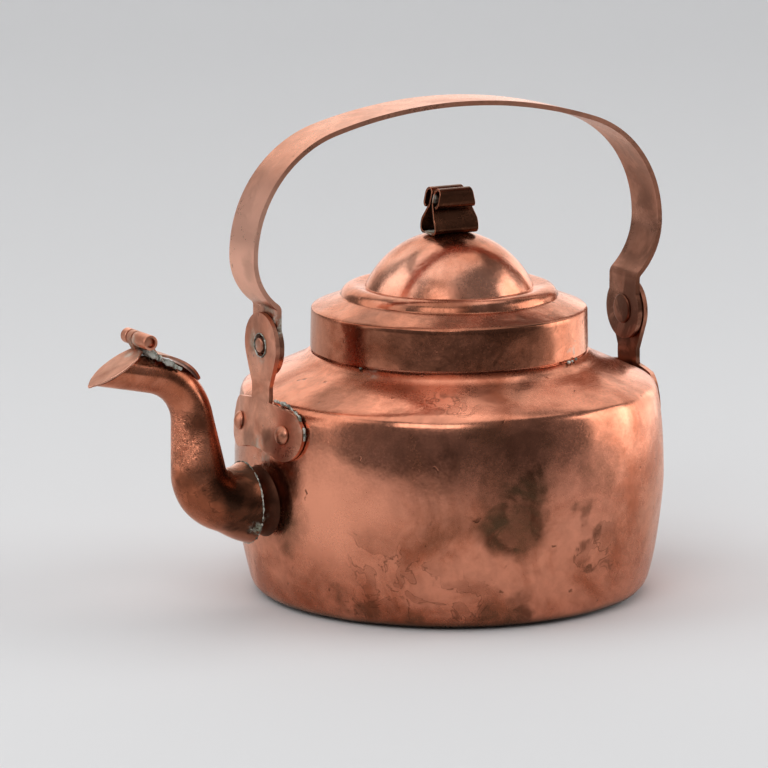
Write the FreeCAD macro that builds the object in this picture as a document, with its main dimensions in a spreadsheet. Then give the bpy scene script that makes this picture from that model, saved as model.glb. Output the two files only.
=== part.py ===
import FreeCAD, Part
import math
import os
import re

import Sketcher
from FreeCAD import Placement, Rotation, Vector

# Coffee pot of raised copper sheet with a bail handle, in millimetres.
# The origin is the middle of the base, +Z is up, and the spout points along -X.

doc = FreeCAD.newDocument("CoffeePot")
sheet = doc.addObject("Spreadsheet::Sheet", "Sizes")

# Driving dimensions
driving = {
    # Pot shell
    "shell_gauge": 1.2,
    "belly_radius": 87.1,
    "belly_height": 52.0,
    "belly_round": 175.0,
    "heel_round": 9.0,
    "seam_inset": 23.1,
    "edge_round": 5.0,
    "shoulder_slope": 24.0,
    "shoulder_top": 98.0,
    "joint_gap": 0.03,
    # Neck collar and the ledge that the lid stands on
    "collar_radius": 54.6,
    "collar_gauge": 1.0,
    "collar_depth": 3.0,
    "collar_clear": 2.4,
    "ledge_width": 2.3,
    "foot_width": 3.8,
    "foot_edge": 0.7,
    # Lid
    "lid_gauge": 0.9,
    "lid_gap": 0.4,
    "seat_rise": 0.9,
    "skirt_height": 17.0,
    "lid_fold": 2.5,
    "lid_slope": 21.5,
    "bead_radius": 43.2,
    "bead_round": 9.5,
    "dome_radius": 34.2,
    "bead_rise": 3.697337,
    "dome_rise": 21.6,
    "dome_flat": 5.0,
    # Rolled knob on the lid
    "knob_gauge": 0.95,
    "knob_length": 20.0,
    "knob_top_length": 14.2,
    "knob_half": 5.7,
    "knob_turn": 1.8,
    "knob_belly": 7.0,
    "knob_belly_top": 5.6,
    "knob_waist": 1.1,
    "knob_waist_height": 11.4,
    "scroll_round": 2.2,
    "scroll_top": 15.4,
    "scroll_low": 13.2,
    "scroll_end_round": 1.8,
    "knob_rivet_radius": 1.6,
    "knob_rivet_head": 3.2,
    "knob_rivet_rise": 1.3,
    # Spout
    "spout_gauge": 1.1,
    "spout_stand": 6.3,
    "spout_height": 44.9,
    "spout_rise": 12.0,
    "spout_run": 9.7,
    "elbow_bend": 14.0,
    "riser_lean": 83.0,
    "riser_length": 22.8,
    "neck_bend": 21.5,
    "head_rise": 12.0,
    "head_length": 27.0,
    "spout_base_radius": 15.9,
    "elbow_in_radius": 12.9,
    "elbow_out_radius": 11.2,
    "riser_radius": 8.5,
    "head_radius": 7.3,
    # Spout collar on the wall
    "socket_radius": 18.4,
    "socket_flare": 7.0,
    "socket_reach": 3.0,
    "socket_gauge": 1.1,
    "socket_ease": 1.0,
    "spout_hole_radius": 14.0,
    # Spout flap and its hinge
    "hinge_out": 6.478824,
    "hinge_up": 15.055326,
    "barrel_radius": 3.0,
    "barrel_far_end": 9.4,
    "pin_radius": 1.9,
    "pin_play": 0.05,
    "pin_recess": 1.6,
    "near_knuckle": 11.6,
    "middle_knuckle": 4.0,
    "far_knuckle": 4.6,
    "knuckle_gap": 0.25,
    "flap_angle": 30.8,
    "flap_gauge": 1.0,
    "flap_lift": 0.35,
    "flap_seat": 0.3,
    "flap_back": 2.4,
    "flap_back_half": 4.4,
    "flap_tip": 27.6,
    "flap_tip_half": 1.7,
    "flap_tip_back": 1.3,
    "flap_tip_round": 2.2,
    "flap_side_round": 16.6,
    "leaf_gauge": 1.0,
    "leaf_gap": 0.15,
    "leaf_half": 6.5,
    "leaf_sweep": 54.0,
    "leaf_point": 9.0,
    "leaf_foot": 3.4,
    "leaf_tip_half": 1.2,
    # Handle brackets
    "bracket_gauge": 2.0,
    "bend_rise": 3.853247,
    "ear_inset": 2.9,
    "ear_set": 0.3,
    "ear_radius": 13.0,
    "pivot_rise": 16.0,
    "neck_half": 7.1,
    "neck_rise": 5.9,
    "crotch_rise": 11.6,
    "lobe_spread": 17.6,
    "lobe_drop": 24.0,
    "lobe_radius": 10.2,
    "arch_round": 46.0,
    "arch_turn": 20.0,
    "bracket_gap": 0.02,
    # Bracket rivets
    "rivet_head": 3.8,
    "rivet_rise": 2.2,
    "rivet_rim": 0.5,
    "rivet_shank": 2.0,
    "rivet_tail": 3.2,
    "rivet_tail_rise": 1.1,
    "rivet_seat": 0.15,
    # Bail handle
    "strap_gauge": 2.1,
    "strap_width": 20.4,
    "strap_play": 0.25,
    "bail_rise": 92.5,
    "bail_reach": 7.3,
    "handle_lean": 1.4,
    "front_bend": 50.2,
    "front_bend_rise": 35.4,
    "front_lower_bend": 23.2,
    "front_joggle": 2.5,
    "rear_bend": 46.0,
    "rear_lower_bend": 30.0,
    "rear_joggle": 3.0,
    "eye_radius": 12.4,
    # Pivot rivets
    "pivot_radius": 3.3,
    "pivot_play": 0.08,
    "pivot_head": 6.3,
    "pivot_head_rise": 1.7,
    "pivot_round": 0.7,
    "pivot_sink": 5.2,
    "pivot_sink_depth": 1.1,
    "pivot_peen": 4.0,
}

# Sizes worked out from the driving dimensions
derived = {
    # Belly circle, heel circle tangent to it and to the base plane
    "belly_x": "belly_radius - belly_round",
    "heel_pull": "belly_round - heel_round",
    "base_radius": "belly_x + sqrt(heel_pull ^ 2 - (belly_height - heel_round) ^ 2)",
    "heel_x": "belly_x + belly_round * (base_radius - belly_x) / heel_pull",
    "heel_z": "belly_height - belly_round * (belly_height - heel_round) / heel_pull",
    # Rounded edge, tangent to the belly circle and to the shoulder cone
    "neck_hole": "collar_radius + joint_gap",
    "edge_pull": "belly_round - edge_round",
    "edge_from_x": "neck_hole - edge_round * sin(shoulder_slope) - belly_x",
    "edge_from_z": "shoulder_top - edge_round * cos(shoulder_slope) - belly_height",
    "edge_along": "edge_from_x * cos(shoulder_slope) - edge_from_z * sin(shoulder_slope)",
    "edge_apart": "edge_from_x ^ 2 + edge_from_z ^ 2 - edge_pull ^ 2",
    "edge_run": "sqrt(edge_along ^ 2 - edge_apart) - edge_along",
    "edge_x": "belly_x + edge_from_x + edge_run * cos(shoulder_slope)",
    "edge_z": "belly_height + edge_from_z - edge_run * sin(shoulder_slope)",
    "edge_low_x": "belly_x + (edge_x - belly_x) * belly_round / edge_pull",
    "edge_low_z": "belly_height + (edge_z - belly_height) * belly_round / edge_pull",
    "edge_high_x": "edge_x + edge_round * sin(shoulder_slope)",
    "edge_high_z": "edge_z + edge_round * cos(shoulder_slope)",
    "seam_radius": "belly_radius - seam_inset",
    "plate_radius": "seam_radius - joint_gap",
    "bracket_round": "belly_round + bracket_gap",
    # Neck collar on the shoulder cone
    "collar_inside": "collar_radius - collar_gauge",
    "ledge_radius": "collar_radius + ledge_width",
    "foot_radius": "collar_radius + foot_width",
    "collar_low": "shoulder_top - collar_depth",
    "lid_seat": "shoulder_top + seat_rise",
    "lid_corner": "lid_seat + skirt_height",
    "collar_top": "lid_corner - collar_clear",
    "foot_in_z": "shoulder_top + joint_gap",
    "foot_out_z": "foot_in_z - (foot_radius - collar_radius) * tan(shoulder_slope)",
    "foot_lip_z": "foot_out_z + foot_edge",
    # Lid outline from the skirt to the dome
    "skirt_radius": "collar_radius + lid_gap + lid_gauge",
    "fold_length": "lid_fold * tan((90 - lid_slope) / 2)",
    "fold_low_z": "lid_corner - fold_length",
    "fold_x": "skirt_radius - fold_length * cos(lid_slope)",
    "fold_high_z": "lid_corner + fold_length * sin(lid_slope)",
    "bead_z": "lid_corner + (skirt_radius - bead_radius) * tan(lid_slope)",
    "dome_base": "bead_z + bead_rise",
    "dome_top": "dome_base + dome_rise",
    "dome_depth": "(dome_radius ^ 2 - dome_flat ^ 2 + dome_rise ^ 2) / (2 * dome_rise)",
    "dome_round": "sqrt(dome_depth ^ 2 + dome_flat ^ 2)",
    "knob_hole": "knob_rivet_radius + joint_gap",
    # Knob strip, heights from its flat bottom
    "knob_flat": "knob_half - knob_turn",
    "knob_belly_y": "knob_half - knob_belly + sqrt(knob_belly ^ 2 - (knob_belly_top - knob_turn) ^ 2)",
    "scroll_mid": "knob_waist + scroll_round",
    "scroll_peak": "scroll_top + scroll_round",
    "scroll_out": "knob_waist + 2 * scroll_round",
    "scroll_end_y": "scroll_out - scroll_end_round",
    "scroll_end_z": "scroll_low - scroll_end_round",
    "knob_height": "scroll_top + scroll_round + knob_gauge",
    "knob_taper": "atan((knob_length - knob_top_length) / 2 / (knob_height - knob_belly_top)) / (1 deg)",
    "knob_rivet_seat": "knob_gauge + joint_gap",
    "knob_rivet_top": "knob_rivet_seat + knob_rivet_rise",
    "knob_rivet_dome": "(knob_rivet_head ^ 2 + knob_rivet_rise ^ 2) / (2 * knob_rivet_rise)",
    "knob_rivet_under": "lid_gauge + joint_gap",
    "knob_rivet_low": "knob_rivet_under + knob_rivet_rise",
    # Spout axis: run, elbow, riser, neck bend and head
    "spout_start": "belly_radius + spout_stand",
    "elbow_in_x": "spout_start + spout_run * cos(spout_rise)",
    "elbow_in_z": "spout_height + spout_run * sin(spout_rise)",
    "elbow_out_x": "elbow_in_x + elbow_bend * (sin(riser_lean) - sin(spout_rise))",
    "elbow_out_z": "elbow_in_z + elbow_bend * (cos(spout_rise) - cos(riser_lean))",
    "riser_x": "elbow_out_x + riser_length * cos(riser_lean)",
    "riser_z": "elbow_out_z + riser_length * sin(riser_lean)",
    "neck_x": "riser_x + neck_bend * sin(riser_lean)",
    "neck_z": "riser_z - neck_bend * cos(riser_lean)",
    "head_x": "neck_x - neck_bend * sin(head_rise)",
    "head_z": "neck_z + neck_bend * cos(head_rise)",
    # Collar of the spout
    "core_low": "spout_height - 1.5 * socket_radius",
    "core_high": "spout_height + 1.5 * socket_radius",
    "core_low_x": "belly_x + sqrt(bracket_round ^ 2 - (core_low - belly_height) ^ 2)",
    "core_high_x": "belly_x + sqrt(bracket_round ^ 2 - (core_high - belly_height) ^ 2)",
    "socket_root": "belly_radius - 4 * shell_gauge",
    "socket_mouth": "spout_base_radius - spout_gauge - joint_gap",
    "socket_tip_x": "spout_start + socket_reach",
    "socket_tip": "socket_mouth - socket_reach * (spout_base_radius - elbow_in_radius) / spout_run - socket_ease",
    # Flap and hinge, placed from the spout's head
    "hinge_reach": "head_x + hinge_out",
    "hinge_height": "head_z + hinge_up",
    "flap_upper": "barrel_radius + flap_lift",
    "flap_lower": "flap_upper + flap_gauge",
    "mouth_drop": "flap_lower + flap_seat",
    "flap_tip_x": "flap_tip - flap_tip_back",
    "bore_radius": "pin_radius + pin_play",
    "barrel_length": "near_knuckle + middle_knuckle + far_knuckle + 2 * knuckle_gap",
    "barrel_start": "barrel_far_end - barrel_length",
    "middle_start": "barrel_start + near_knuckle + knuckle_gap",
    "far_start": "middle_start + middle_knuckle + knuckle_gap",
    "pin_length": "barrel_length - 2 * pin_recess",
    "leaf_curve": "neck_bend + (riser_radius + head_radius) / 2 + leaf_gap",
    "leaf_end_x": "neck_x - leaf_curve * sin(leaf_sweep)",
    "leaf_end_z": "neck_z + leaf_curve * cos(leaf_sweep)",
    "leaf_head_x": "neck_x - leaf_curve * sin(head_rise)",
    "leaf_head_z": "neck_z + leaf_curve * cos(head_rise)",
    "leaf_foot_x": "leaf_head_x + leaf_foot * cos(head_rise)",
    "leaf_foot_z": "leaf_head_z + leaf_foot * sin(head_rise)",
    "leaf_waist_x": "leaf_end_x + leaf_point",
    "leaf_lip_x": "hinge_reach - barrel_radius * 0.7",
    "leaf_lip_z": "hinge_height - barrel_radius * 0.7",
    # Bracket outline, from the shoulder down to the lobes and up to the ear
    "lobe_height": "shoulder_top - lobe_drop",
    "crotch_height": "lobe_height + crotch_rise",
    "neck_height": "crotch_height + neck_rise",
    "pivot_height": "neck_height + pivot_rise",
    "bracket_bend": "lobe_height + bend_rise",
    "bend_radius": "belly_x + sqrt(bracket_round ^ 2 - (bracket_bend - belly_height) ^ 2)",
    "ear_face": "belly_radius - ear_inset",
    "lobe_out": "lobe_spread + lobe_radius",
    "arch_y": "lobe_spread - lobe_radius * sin(arch_turn)",
    "arch_z": "lobe_height - lobe_radius * cos(arch_turn)",
    "lobe_top": "lobe_height + lobe_radius",
    "neck_apart": "sqrt(neck_half ^ 2 + (pivot_height - neck_height) ^ 2)",
    "ear_turn": "(acos(ear_radius / neck_apart) - atan((pivot_height - neck_height) / neck_half)) / (1 deg)",
    "neck_radius_in": "ear_face + ear_set",
    "ear_top": "pivot_height + ear_radius",
    "ear_y": "ear_radius * cos(ear_turn)",
    "ear_z": "pivot_height + ear_radius * sin(ear_turn)",
    "bracket_low": "lobe_height - lobe_radius - bracket_gauge",
    "bracket_low_x": "belly_x + sqrt(bracket_round ^ 2 - (bracket_low - belly_height) ^ 2)",
    "bracket_top": "pivot_height + ear_radius + bracket_gauge",
    # Bracket rivets, square to the wall
    "rivet_tilt": "asin((lobe_height - belly_height) / bracket_round) / (1 deg)",
    "rivet_radius": "belly_x + (bracket_round + bracket_gauge) * cos(rivet_tilt)",
    "rivet_z": "belly_height + (bracket_round + bracket_gauge) * sin(rivet_tilt)",
    "rivet_angle": "asin(lobe_spread / rivet_radius) / (1 deg)",
    "rivet_grip": "bracket_gauge + bracket_gap + shell_gauge + rivet_seat",
    "rivet_hole": "rivet_shank + joint_gap",
    "rivet_crown": "rivet_rim + rivet_rise",
    "rivet_dome": "(rivet_head ^ 2 + rivet_rise ^ 2) / (2 * rivet_rise)",
    "rivet_low": "rivet_grip + rivet_tail_rise",
    "rivet_tail_in": "rivet_tail - rivet_tail_rise",
    # Bail centre line: two eyes, two joggles, two side bends and the top
    "handle_top": "pivot_height + bail_rise",
    "handle_half": "belly_radius + bail_reach",
    "front_bend_height": "pivot_height + front_bend_rise",
    "strap_half": "strap_gauge / 2",
    "eye_x": "ear_face - strap_play - strap_half",
    "eye_inner": "eye_x - strap_half",
    "bail_half": "handle_half - strap_half",
    "bail_top": "handle_top - strap_half",
    "front_x": "bail_half - front_bend",
    "front_off": "front_x - handle_lean",
    "front_up": "bail_top - front_bend_height",
    "top_bend": "(front_off ^ 2 + front_up ^ 2 - front_bend ^ 2) / (2 * (front_up - front_bend))",
    "top_z": "bail_top - top_bend",
    "front_top_x": "handle_lean + front_off * top_bend / (top_bend - front_bend)",
    "front_top_z": "top_z + (front_bend_height - top_z) * top_bend / (top_bend - front_bend)",
    "rear_x": "bail_half - rear_bend",
    "rear_off": "rear_x + handle_lean",
    "rear_bend_height": "top_z + sqrt((top_bend - rear_bend) ^ 2 - rear_off ^ 2)",
    "rear_top_x": "rear_off * top_bend / (top_bend - rear_bend) - handle_lean",
    "rear_top_z": "top_z + (rear_bend_height - top_z) * top_bend / (top_bend - rear_bend)",
    "front_low_x": "bail_half - front_lower_bend",
    "front_reach": "(eye_x + front_joggle - front_low_x) / (front_lower_bend + front_joggle)",
    "front_turn": "acos(front_reach) / (1 deg)",
    "front_leave_x": "front_low_x + front_lower_bend * cos(front_turn)",
    "front_leave_z": "front_bend_height - front_lower_bend * sin(front_turn)",
    "front_eye_z": "front_bend_height - (front_lower_bend + front_joggle) * sin(front_turn)",
    "rear_low_x": "bail_half - rear_lower_bend",
    "rear_reach": "(eye_x + rear_joggle - rear_low_x) / (rear_lower_bend + rear_joggle)",
    "rear_turn": "acos(rear_reach) / (1 deg)",
    "rear_leave_x": "rear_low_x + rear_lower_bend * cos(rear_turn)",
    "rear_leave_z": "rear_bend_height - rear_lower_bend * sin(rear_turn)",
    "rear_eye_z": "rear_bend_height - (rear_lower_bend + rear_joggle) * sin(rear_turn)",
    "strap_edge": "strap_width / 2",
    # Pivot rivets, heights along the axis from the inner face of the eye
    "pivot_hole": "pivot_radius + joint_gap",
    "pivot_bore": "pivot_radius + pivot_play",
    "pivot_ear": "strap_gauge + strap_play",
    "pivot_end": "pivot_ear + bracket_gauge",
    "pivot_neck": "pivot_end - pivot_sink_depth + strap_play",
    "pivot_head_in": "pivot_head - pivot_round",
    "pivot_head_low": "pivot_head_rise - pivot_round",
}

row = 0
for alias, value in list(driving.items()) + [(name, "=" + rule) for name, rule in derived.items()]:
    row += 1
    sheet.set(f"A{row}", alias)
    sheet.set(f"B{row}", str(value))
    sheet.setAlias(f"B{row}", alias)
doc.recompute()

aliases = set(driving) | set(derived)


def size(name):
    """Value of a cell, or of its negative, in millimetres or degrees."""
    if name == "0":
        return 0.0
    if name.startswith("-"):
        return -float(sheet.get(name[1:]))
    return float(sheet.get(name))


def linked(rule):
    """The rule with every size written as a cell of the sheet."""
    return re.sub(r"[a-z_]+", lambda word: "Sizes." + word[0] if word[0] in aliases else word[0], rule)


def bind(item, **rules):
    """Tie properties of a document object to the sheet."""
    for name, rule in rules.items():
        item.setExpression(name, linked(rule))
    return item


def place(item, x="0", y="0", z="0", turns=""):
    """Tie an object's place, and its turns about row axes, to the sheet."""
    spin = " * ".join(
        f"rotation(vector({axis}); {angle})" for axis, angle in turns
    ) or "rotation(vector(0; 0; 1); 0)"
    item.setExpression("Placement", linked(f"placement(vector({x}; {y}; {z}); {spin})"))
    return item


along_x, along_y, along_z = "1; 0; 0", "0; 1; 0", "0; 0; 1"
planes = {
    "XY": Rotation(),
    "XZ": Rotation(Vector(1, 0, 0), 90),
    "YZ": Rotation(Vector(1, 1, 1), 120),
}


def pin(sketch, edge, end, x, y):
    """Hold one end of a sketch edge at a pair of sizes."""
    for kind, axis, name in (("DistanceX", -2, x), ("DistanceY", -1, y)):
        if name == "0":
            sketch.addConstraint(Sketcher.Constraint("PointOnObject", edge, end, axis))
        else:
            held = sketch.addConstraint(Sketcher.Constraint(kind, -1, 1, edge, end, size(name)))
            sketch.setExpression(f"Constraints[{held}]", linked(name))


def arc_between(start, end, radius, turn):
    """Arc of less than half a circle; turn is 1 for left, -1 for right."""
    chord = end - start
    rise = math.sqrt(max(radius ** 2 - (chord.Length / 2) ** 2, 0.0))
    side = Vector(-chord.y, chord.x, 0).normalize() * turn
    centre = (start + end) / 2 + side * rise
    first, last = (start, end) if turn > 0 else (end, start)
    angles = [math.atan2(spot.y - centre.y, spot.x - centre.x) for spot in (first, last)]
    return Part.ArcOfCircle(Part.Circle(centre, Vector(0, 0, 1), radius), *angles)


def outline(name, plane, steps, closed=True, body=None):
    """Sketch through pinned corners; a step of three is an arc to the next corner."""
    if body:
        sketch = body.newObject("Sketcher::SketchObject", name)
        base = [item for item in body.Origin.OriginFeatures if item.Role == f"{plane}_Plane"][0]
        sketch.AttachmentSupport = [(base, "")]
        sketch.MapMode = "FlatFace"
    else:
        sketch = doc.addObject("Sketcher::SketchObject", name)
        sketch.Placement = Placement(Vector(), planes[plane])
    corners = [step for step in steps if len(step) == 2]
    spots = [Vector(size(x), size(y), 0) for x, y in corners]
    arcs = {}
    for step in steps:
        if len(step) == 2:
            latest = corners.index(step)
        else:
            arcs[latest] = step
    ends = []
    for index in range(len(corners) if closed else len(corners) - 1):
        start, end = spots[index], spots[(index + 1) % len(spots)]
        if index in arcs:
            radius, turn = arcs[index][1], arcs[index][2]
            edge = sketch.addGeometry(arc_between(start, end, size(radius), turn), False)
            held = sketch.addConstraint(Sketcher.Constraint("Radius", edge, size(radius)))
            sketch.setExpression(f"Constraints[{held}]", linked(radius))
            ends.append((edge, 1, 2) if turn > 0 else (edge, 2, 1))
        else:
            edge = sketch.addGeometry(Part.LineSegment(start, end), False)
            ends.append((edge, 1, 2))
    for index, (edge, first, last) in enumerate(ends):
        pin(sketch, edge, first, *corners[index])
        if closed or index + 1 < len(ends):
            after = ends[(index + 1) % len(ends)]
            sketch.addConstraint(Sketcher.Constraint("Coincident", edge, last, after[0], after[1]))
        else:
            pin(sketch, edge, last, *corners[-1])
    return sketch


def thicken(name, sketch, gauge):
    """Face of a sheet: an open outline and its parallel, a gauge apart on the left."""
    strip = doc.addObject("Part::Offset2D", name)
    strip.Source = sketch
    strip.Mode = "Skin"
    strip.Fill = True
    strip.Join = "Intersection"
    return bind(strip, Value=gauge)


def revolve(name, profile, axis=Vector(0, 0, 1)):
    """Full turn of a closed profile about an axis through the origin."""
    turned = doc.addObject("Part::Revolution", name)
    turned.Source = profile
    turned.Axis = axis
    turned.Angle = 360
    turned.Solid = True
    return turned


def turned_body(name, steps):
    """Body turned from a closed half section about its own Z axis."""
    body = doc.addObject("PartDesign::Body", name)
    section = outline(f"{name}_section", "XZ", steps, body=body)
    turned = body.newObject("PartDesign::Revolution", f"{name}_turn")
    turned.Profile = section
    turned.ReferenceAxis = (section, ["V_Axis"])
    turned.Angle = 360
    body.Tip = turned
    return body


def extrude(name, profile, axis, length, both=True):
    """Profile pushed along an axis, the same way to both sides or to one."""
    solid = doc.addObject("Part::Extrusion", name)
    solid.Base = profile
    solid.DirMode = "Custom"
    solid.Dir = axis
    solid.Solid = True
    solid.Symmetric = both
    return bind(solid, LengthFwd=length)


def drum(name, radius, height):
    """Upright cylinder."""
    return bind(doc.addObject("Part::Cylinder", name), Radius=radius, Height=height)


def block(name, length, width, height):
    """Upright box from its lowest corner."""
    return bind(doc.addObject("Part::Box", name), Length=length, Width=width, Height=height)


def join(name, *solids):
    """One solid from several that meet."""
    fused = doc.addObject("Part::MultiFuse", name)
    fused.Shapes = list(solids)
    fused.Refine = True
    return fused


def cut(name, solid, *tools):
    """Solid with every tool taken out of it."""
    for index, tool in enumerate(tools):
        label = name if index == len(tools) - 1 else f"{name}_cut{index}"
        trimmed = doc.addObject("Part::Cut", label)
        trimmed.Base = solid
        trimmed.Tool = tool
        solid = trimmed
    return solid


def common(name, first, second):
    """What two solids share."""
    shared = doc.addObject("Part::Common", name)
    shared.Base = first
    shared.Tool = second
    return shared


nodes = []


def keep(name, solid):
    """Name a finished piece, which names its file."""
    solid.Label = name
    nodes.append(solid)
    return solid


def rivet_place(item, azimuth, back="0"):
    """Set a piece square to the wall at a bracket rivet, its own +Z outwards."""
    reach = f"(rivet_radius - {back} * cos(rivet_tilt))"
    return place(
        item,
        f"{reach} * cos({azimuth})",
        f"{reach} * sin({azimuth})",
        f"rivet_z - {back} * sin(rivet_tilt)",
        [(along_z, azimuth), (along_y, "90 - rivet_tilt")],
    )


rivet_azimuths = {
    "front_bracket_rivet_left": "180 - rivet_angle",
    "front_bracket_rivet_right": "180 + rivet_angle",
    "rear_bracket_rivet_left": "-rivet_angle",
    "rear_bracket_rivet_right": "rivet_angle",
}


def rivet_drills(prefix):
    """Holes for every bracket rivet, through bracket and wall."""
    holes = []
    for node, azimuth in rivet_azimuths.items():
        hole = drum(f"{prefix}_{node}_hole", "rivet_hole", "4 * rivet_grip")
        holes.append(rivet_place(hole, azimuth, "2 * rivet_grip"))
    return holes


# Raised shell of the pot, open at the neck, the base seam and the spout
shell_line = outline("shell_line", "XZ", [
    ("seam_radius", "0"),
    ("base_radius", "0"),
    ("arc", "heel_round", 1),
    ("heel_x", "heel_z"),
    ("arc", "belly_round", 1),
    ("edge_low_x", "edge_low_z"),
    ("arc", "edge_round", 1),
    ("edge_high_x", "edge_high_z"),
    ("neck_hole", "shoulder_top"),
], closed=False)
shell_turn = revolve("shell_turn", thicken("shell_strip", shell_line, "shell_gauge"))
spout_hole = drum("spout_hole", "spout_hole_radius", "belly_radius")
place(spout_hole, "0", "0", "spout_height", [(along_y, "-90")])
neck_opening = place(drum("neck_opening", "neck_hole", "belly_height"), z="belly_height")
keep("body_shell", cut("shell_open", shell_turn, spout_hole, neck_opening, *rivet_drills("shell")))

# Bottom plate, flush in the shell's turned-in heel
keep("base_plate", drum("plate_disc", "plate_radius", "shell_gauge"))

# Neck collar with its soldered foot and the ledge under the lid
keep("neck_collar", turned_body("collar", [
    ("collar_inside", "collar_low"),
    ("collar_radius", "collar_low"),
    ("collar_radius", "foot_in_z"),
    ("foot_radius", "foot_out_z"),
    ("foot_radius", "foot_lip_z"),
    ("ledge_radius", "lid_seat"),
    ("collar_radius", "lid_seat"),
    ("collar_radius", "collar_top"),
    ("collar_inside", "collar_top"),
]))

# Lid: skirt, fold, flat, bead and dome
lid_line = outline("lid_line", "XZ", [
    ("skirt_radius", "lid_seat"),
    ("skirt_radius", "fold_low_z"),
    ("arc", "lid_fold", 1),
    ("fold_x", "fold_high_z"),
    ("bead_radius", "bead_z"),
    ("arc", "bead_round", 1),
    ("dome_radius", "dome_base"),
    ("arc", "dome_round", 1),
    ("dome_flat", "dome_top"),
    ("0", "dome_top"),
], closed=False)
lid_turn = revolve("lid_turn", thicken("lid_strip", lid_line, "lid_gauge"))
lid_hole = place(drum("lid_hole", "knob_hole", "dome_rise"), z="dome_base")
keep("lid_cap", cut("lid_open", lid_turn, lid_hole))

# Knob: one strip bent to a loop below and two scrolls above
strip_half = [
    ("knob_flat", "0"),
    ("arc", "knob_turn", 1),
    ("knob_half", "knob_turn"),
    ("arc", "knob_belly", 1),
    ("knob_belly_y", "knob_belly_top"),
    ("knob_waist", "knob_waist_height"),
    ("knob_waist", "scroll_top"),
    ("arc", "scroll_round", -1),
    ("scroll_mid", "scroll_peak"),
    ("arc", "scroll_round", -1),
    ("scroll_out", "scroll_top"),
    ("scroll_out", "scroll_low"),
    ("arc", "scroll_end_round", -1),
    ("scroll_end_y", "scroll_end_z"),
]


def mirrored(steps):
    """The same half outline on the other side, walked the other way."""
    turned = []
    for step in reversed(steps):
        turned.append(step if len(step) == 3 else ("-" + step[0], step[1]))
    return turned


knob_line = outline("knob_line", "YZ", mirrored(strip_half) + strip_half, closed=False)
knob_strip = extrude("knob_strip", thicken("knob_face", knob_line, "knob_gauge"), Vector(1, 0, 0), "knob_length")
knob_ends = []
for side, sign, azimuth in (("front", "-", "180"), ("rear", "", "0")):
    end = block(f"knob_{side}_end", "knob_length", "4 * knob_half", "2 * knob_height")
    swing = "2 * knob_half" if side == "front" else "-2 * knob_half"
    turns = [(along_z, azimuth), (along_y, "-knob_taper")]
    knob_ends.append(place(end, f"{sign}knob_length / 2", swing, "knob_belly_top", turns))
loop_hole = place(drum("loop_hole", "knob_hole", "4 * knob_gauge"), z="-knob_gauge")
knob = cut("knob_bent", knob_strip, *knob_ends, loop_hole)
keep("lid_knob", place(knob, z="dome_top"))

# Rivet through the knob's loop and the top of the dome
knob_rivet = turned_body("knob_rivet_turned", [
    ("0", "-knob_rivet_low"),
    ("knob_rivet_head", "-knob_rivet_low"),
    ("knob_rivet_head", "-knob_rivet_under"),
    ("knob_rivet_radius", "-knob_rivet_under"),
    ("knob_rivet_radius", "knob_rivet_seat"),
    ("knob_rivet_head", "knob_rivet_seat"),
    ("arc", "knob_rivet_dome", 1),
    ("0", "knob_rivet_top"),
])
keep("knob_rivet", place(knob_rivet, z="dome_top"))

# Flared collar that carries the spout, trimmed to the bulge of the wall
wall_core = revolve("wall_core", outline("core_line", "XZ", [
    ("0", "core_low"),
    ("core_low_x", "core_low"),
    ("arc", "bracket_round", 1),
    ("core_high_x", "core_high"),
    ("0", "core_high"),
]))
socket_line = outline("socket_line", "XZ", [
    ("socket_root", "socket_radius"),
    ("arc", "socket_flare", 1),
    ("spout_start", "socket_mouth"),
    ("socket_tip_x", "socket_tip"),
], closed=False)
socket = revolve("socket_turn", thicken("socket_strip", socket_line, "-socket_gauge"), Vector(1, 0, 0))
place(socket, z="spout_height", turns=[(along_z, "180")])
keep("spout_collar", cut("socket_fitted", socket, wall_core))

# Spout: round sections along run, elbow, riser, neck bend and head
stations = []


def add_station(x, z, heading, start, end, share):
    """Round section of the spout, its radius a share of the way between two sizes."""
    stations.append((f"({x})", f"({z})", f"({heading})", f"({start} + ({end} - {start}) * {share})"))


for share in ("0", "1 / 3", "2 / 3"):
    add_station(
        f"spout_start + spout_run * cos(spout_rise) * {share}",
        f"spout_height + spout_run * sin(spout_rise) * {share} * {share}",
        f"spout_rise * {share}",
        "spout_base_radius", "elbow_in_radius", share,
    )
for share in ("0", "1 / 3", "2 / 3"):
    heading = f"(spout_rise + (riser_lean - spout_rise) * {share})"
    add_station(
        f"elbow_in_x + elbow_bend * (sin({heading}) - sin(spout_rise))",
        f"elbow_in_z + elbow_bend * (cos(spout_rise) - cos({heading}))",
        heading, "elbow_in_radius", "elbow_out_radius", share,
    )
for share in ("0", "1 / 3", "2 / 3"):
    add_station(
        f"elbow_out_x + (riser_x - elbow_out_x) * {share}",
        f"elbow_out_z + (riser_z - elbow_out_z) * {share}",
        "riser_lean", "elbow_out_radius", "riser_radius", share,
    )
for share in ("0", "1 / 4", "1 / 2", "3 / 4"):
    heading = f"(riser_lean + (head_rise - riser_lean) * {share})"
    add_station(
        f"neck_x - neck_bend * sin({heading})",
        f"neck_z + neck_bend * cos({heading})",
        heading, "riser_radius", "head_radius", share,
    )
for share in ("0", "1 / 3", "2 / 3", "1"):
    add_station(
        f"head_x + head_length * cos(head_rise) * {share}",
        f"head_z + head_length * sin(head_rise) * {share}",
        "head_rise", "head_radius", "head_radius", share,
    )


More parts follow.
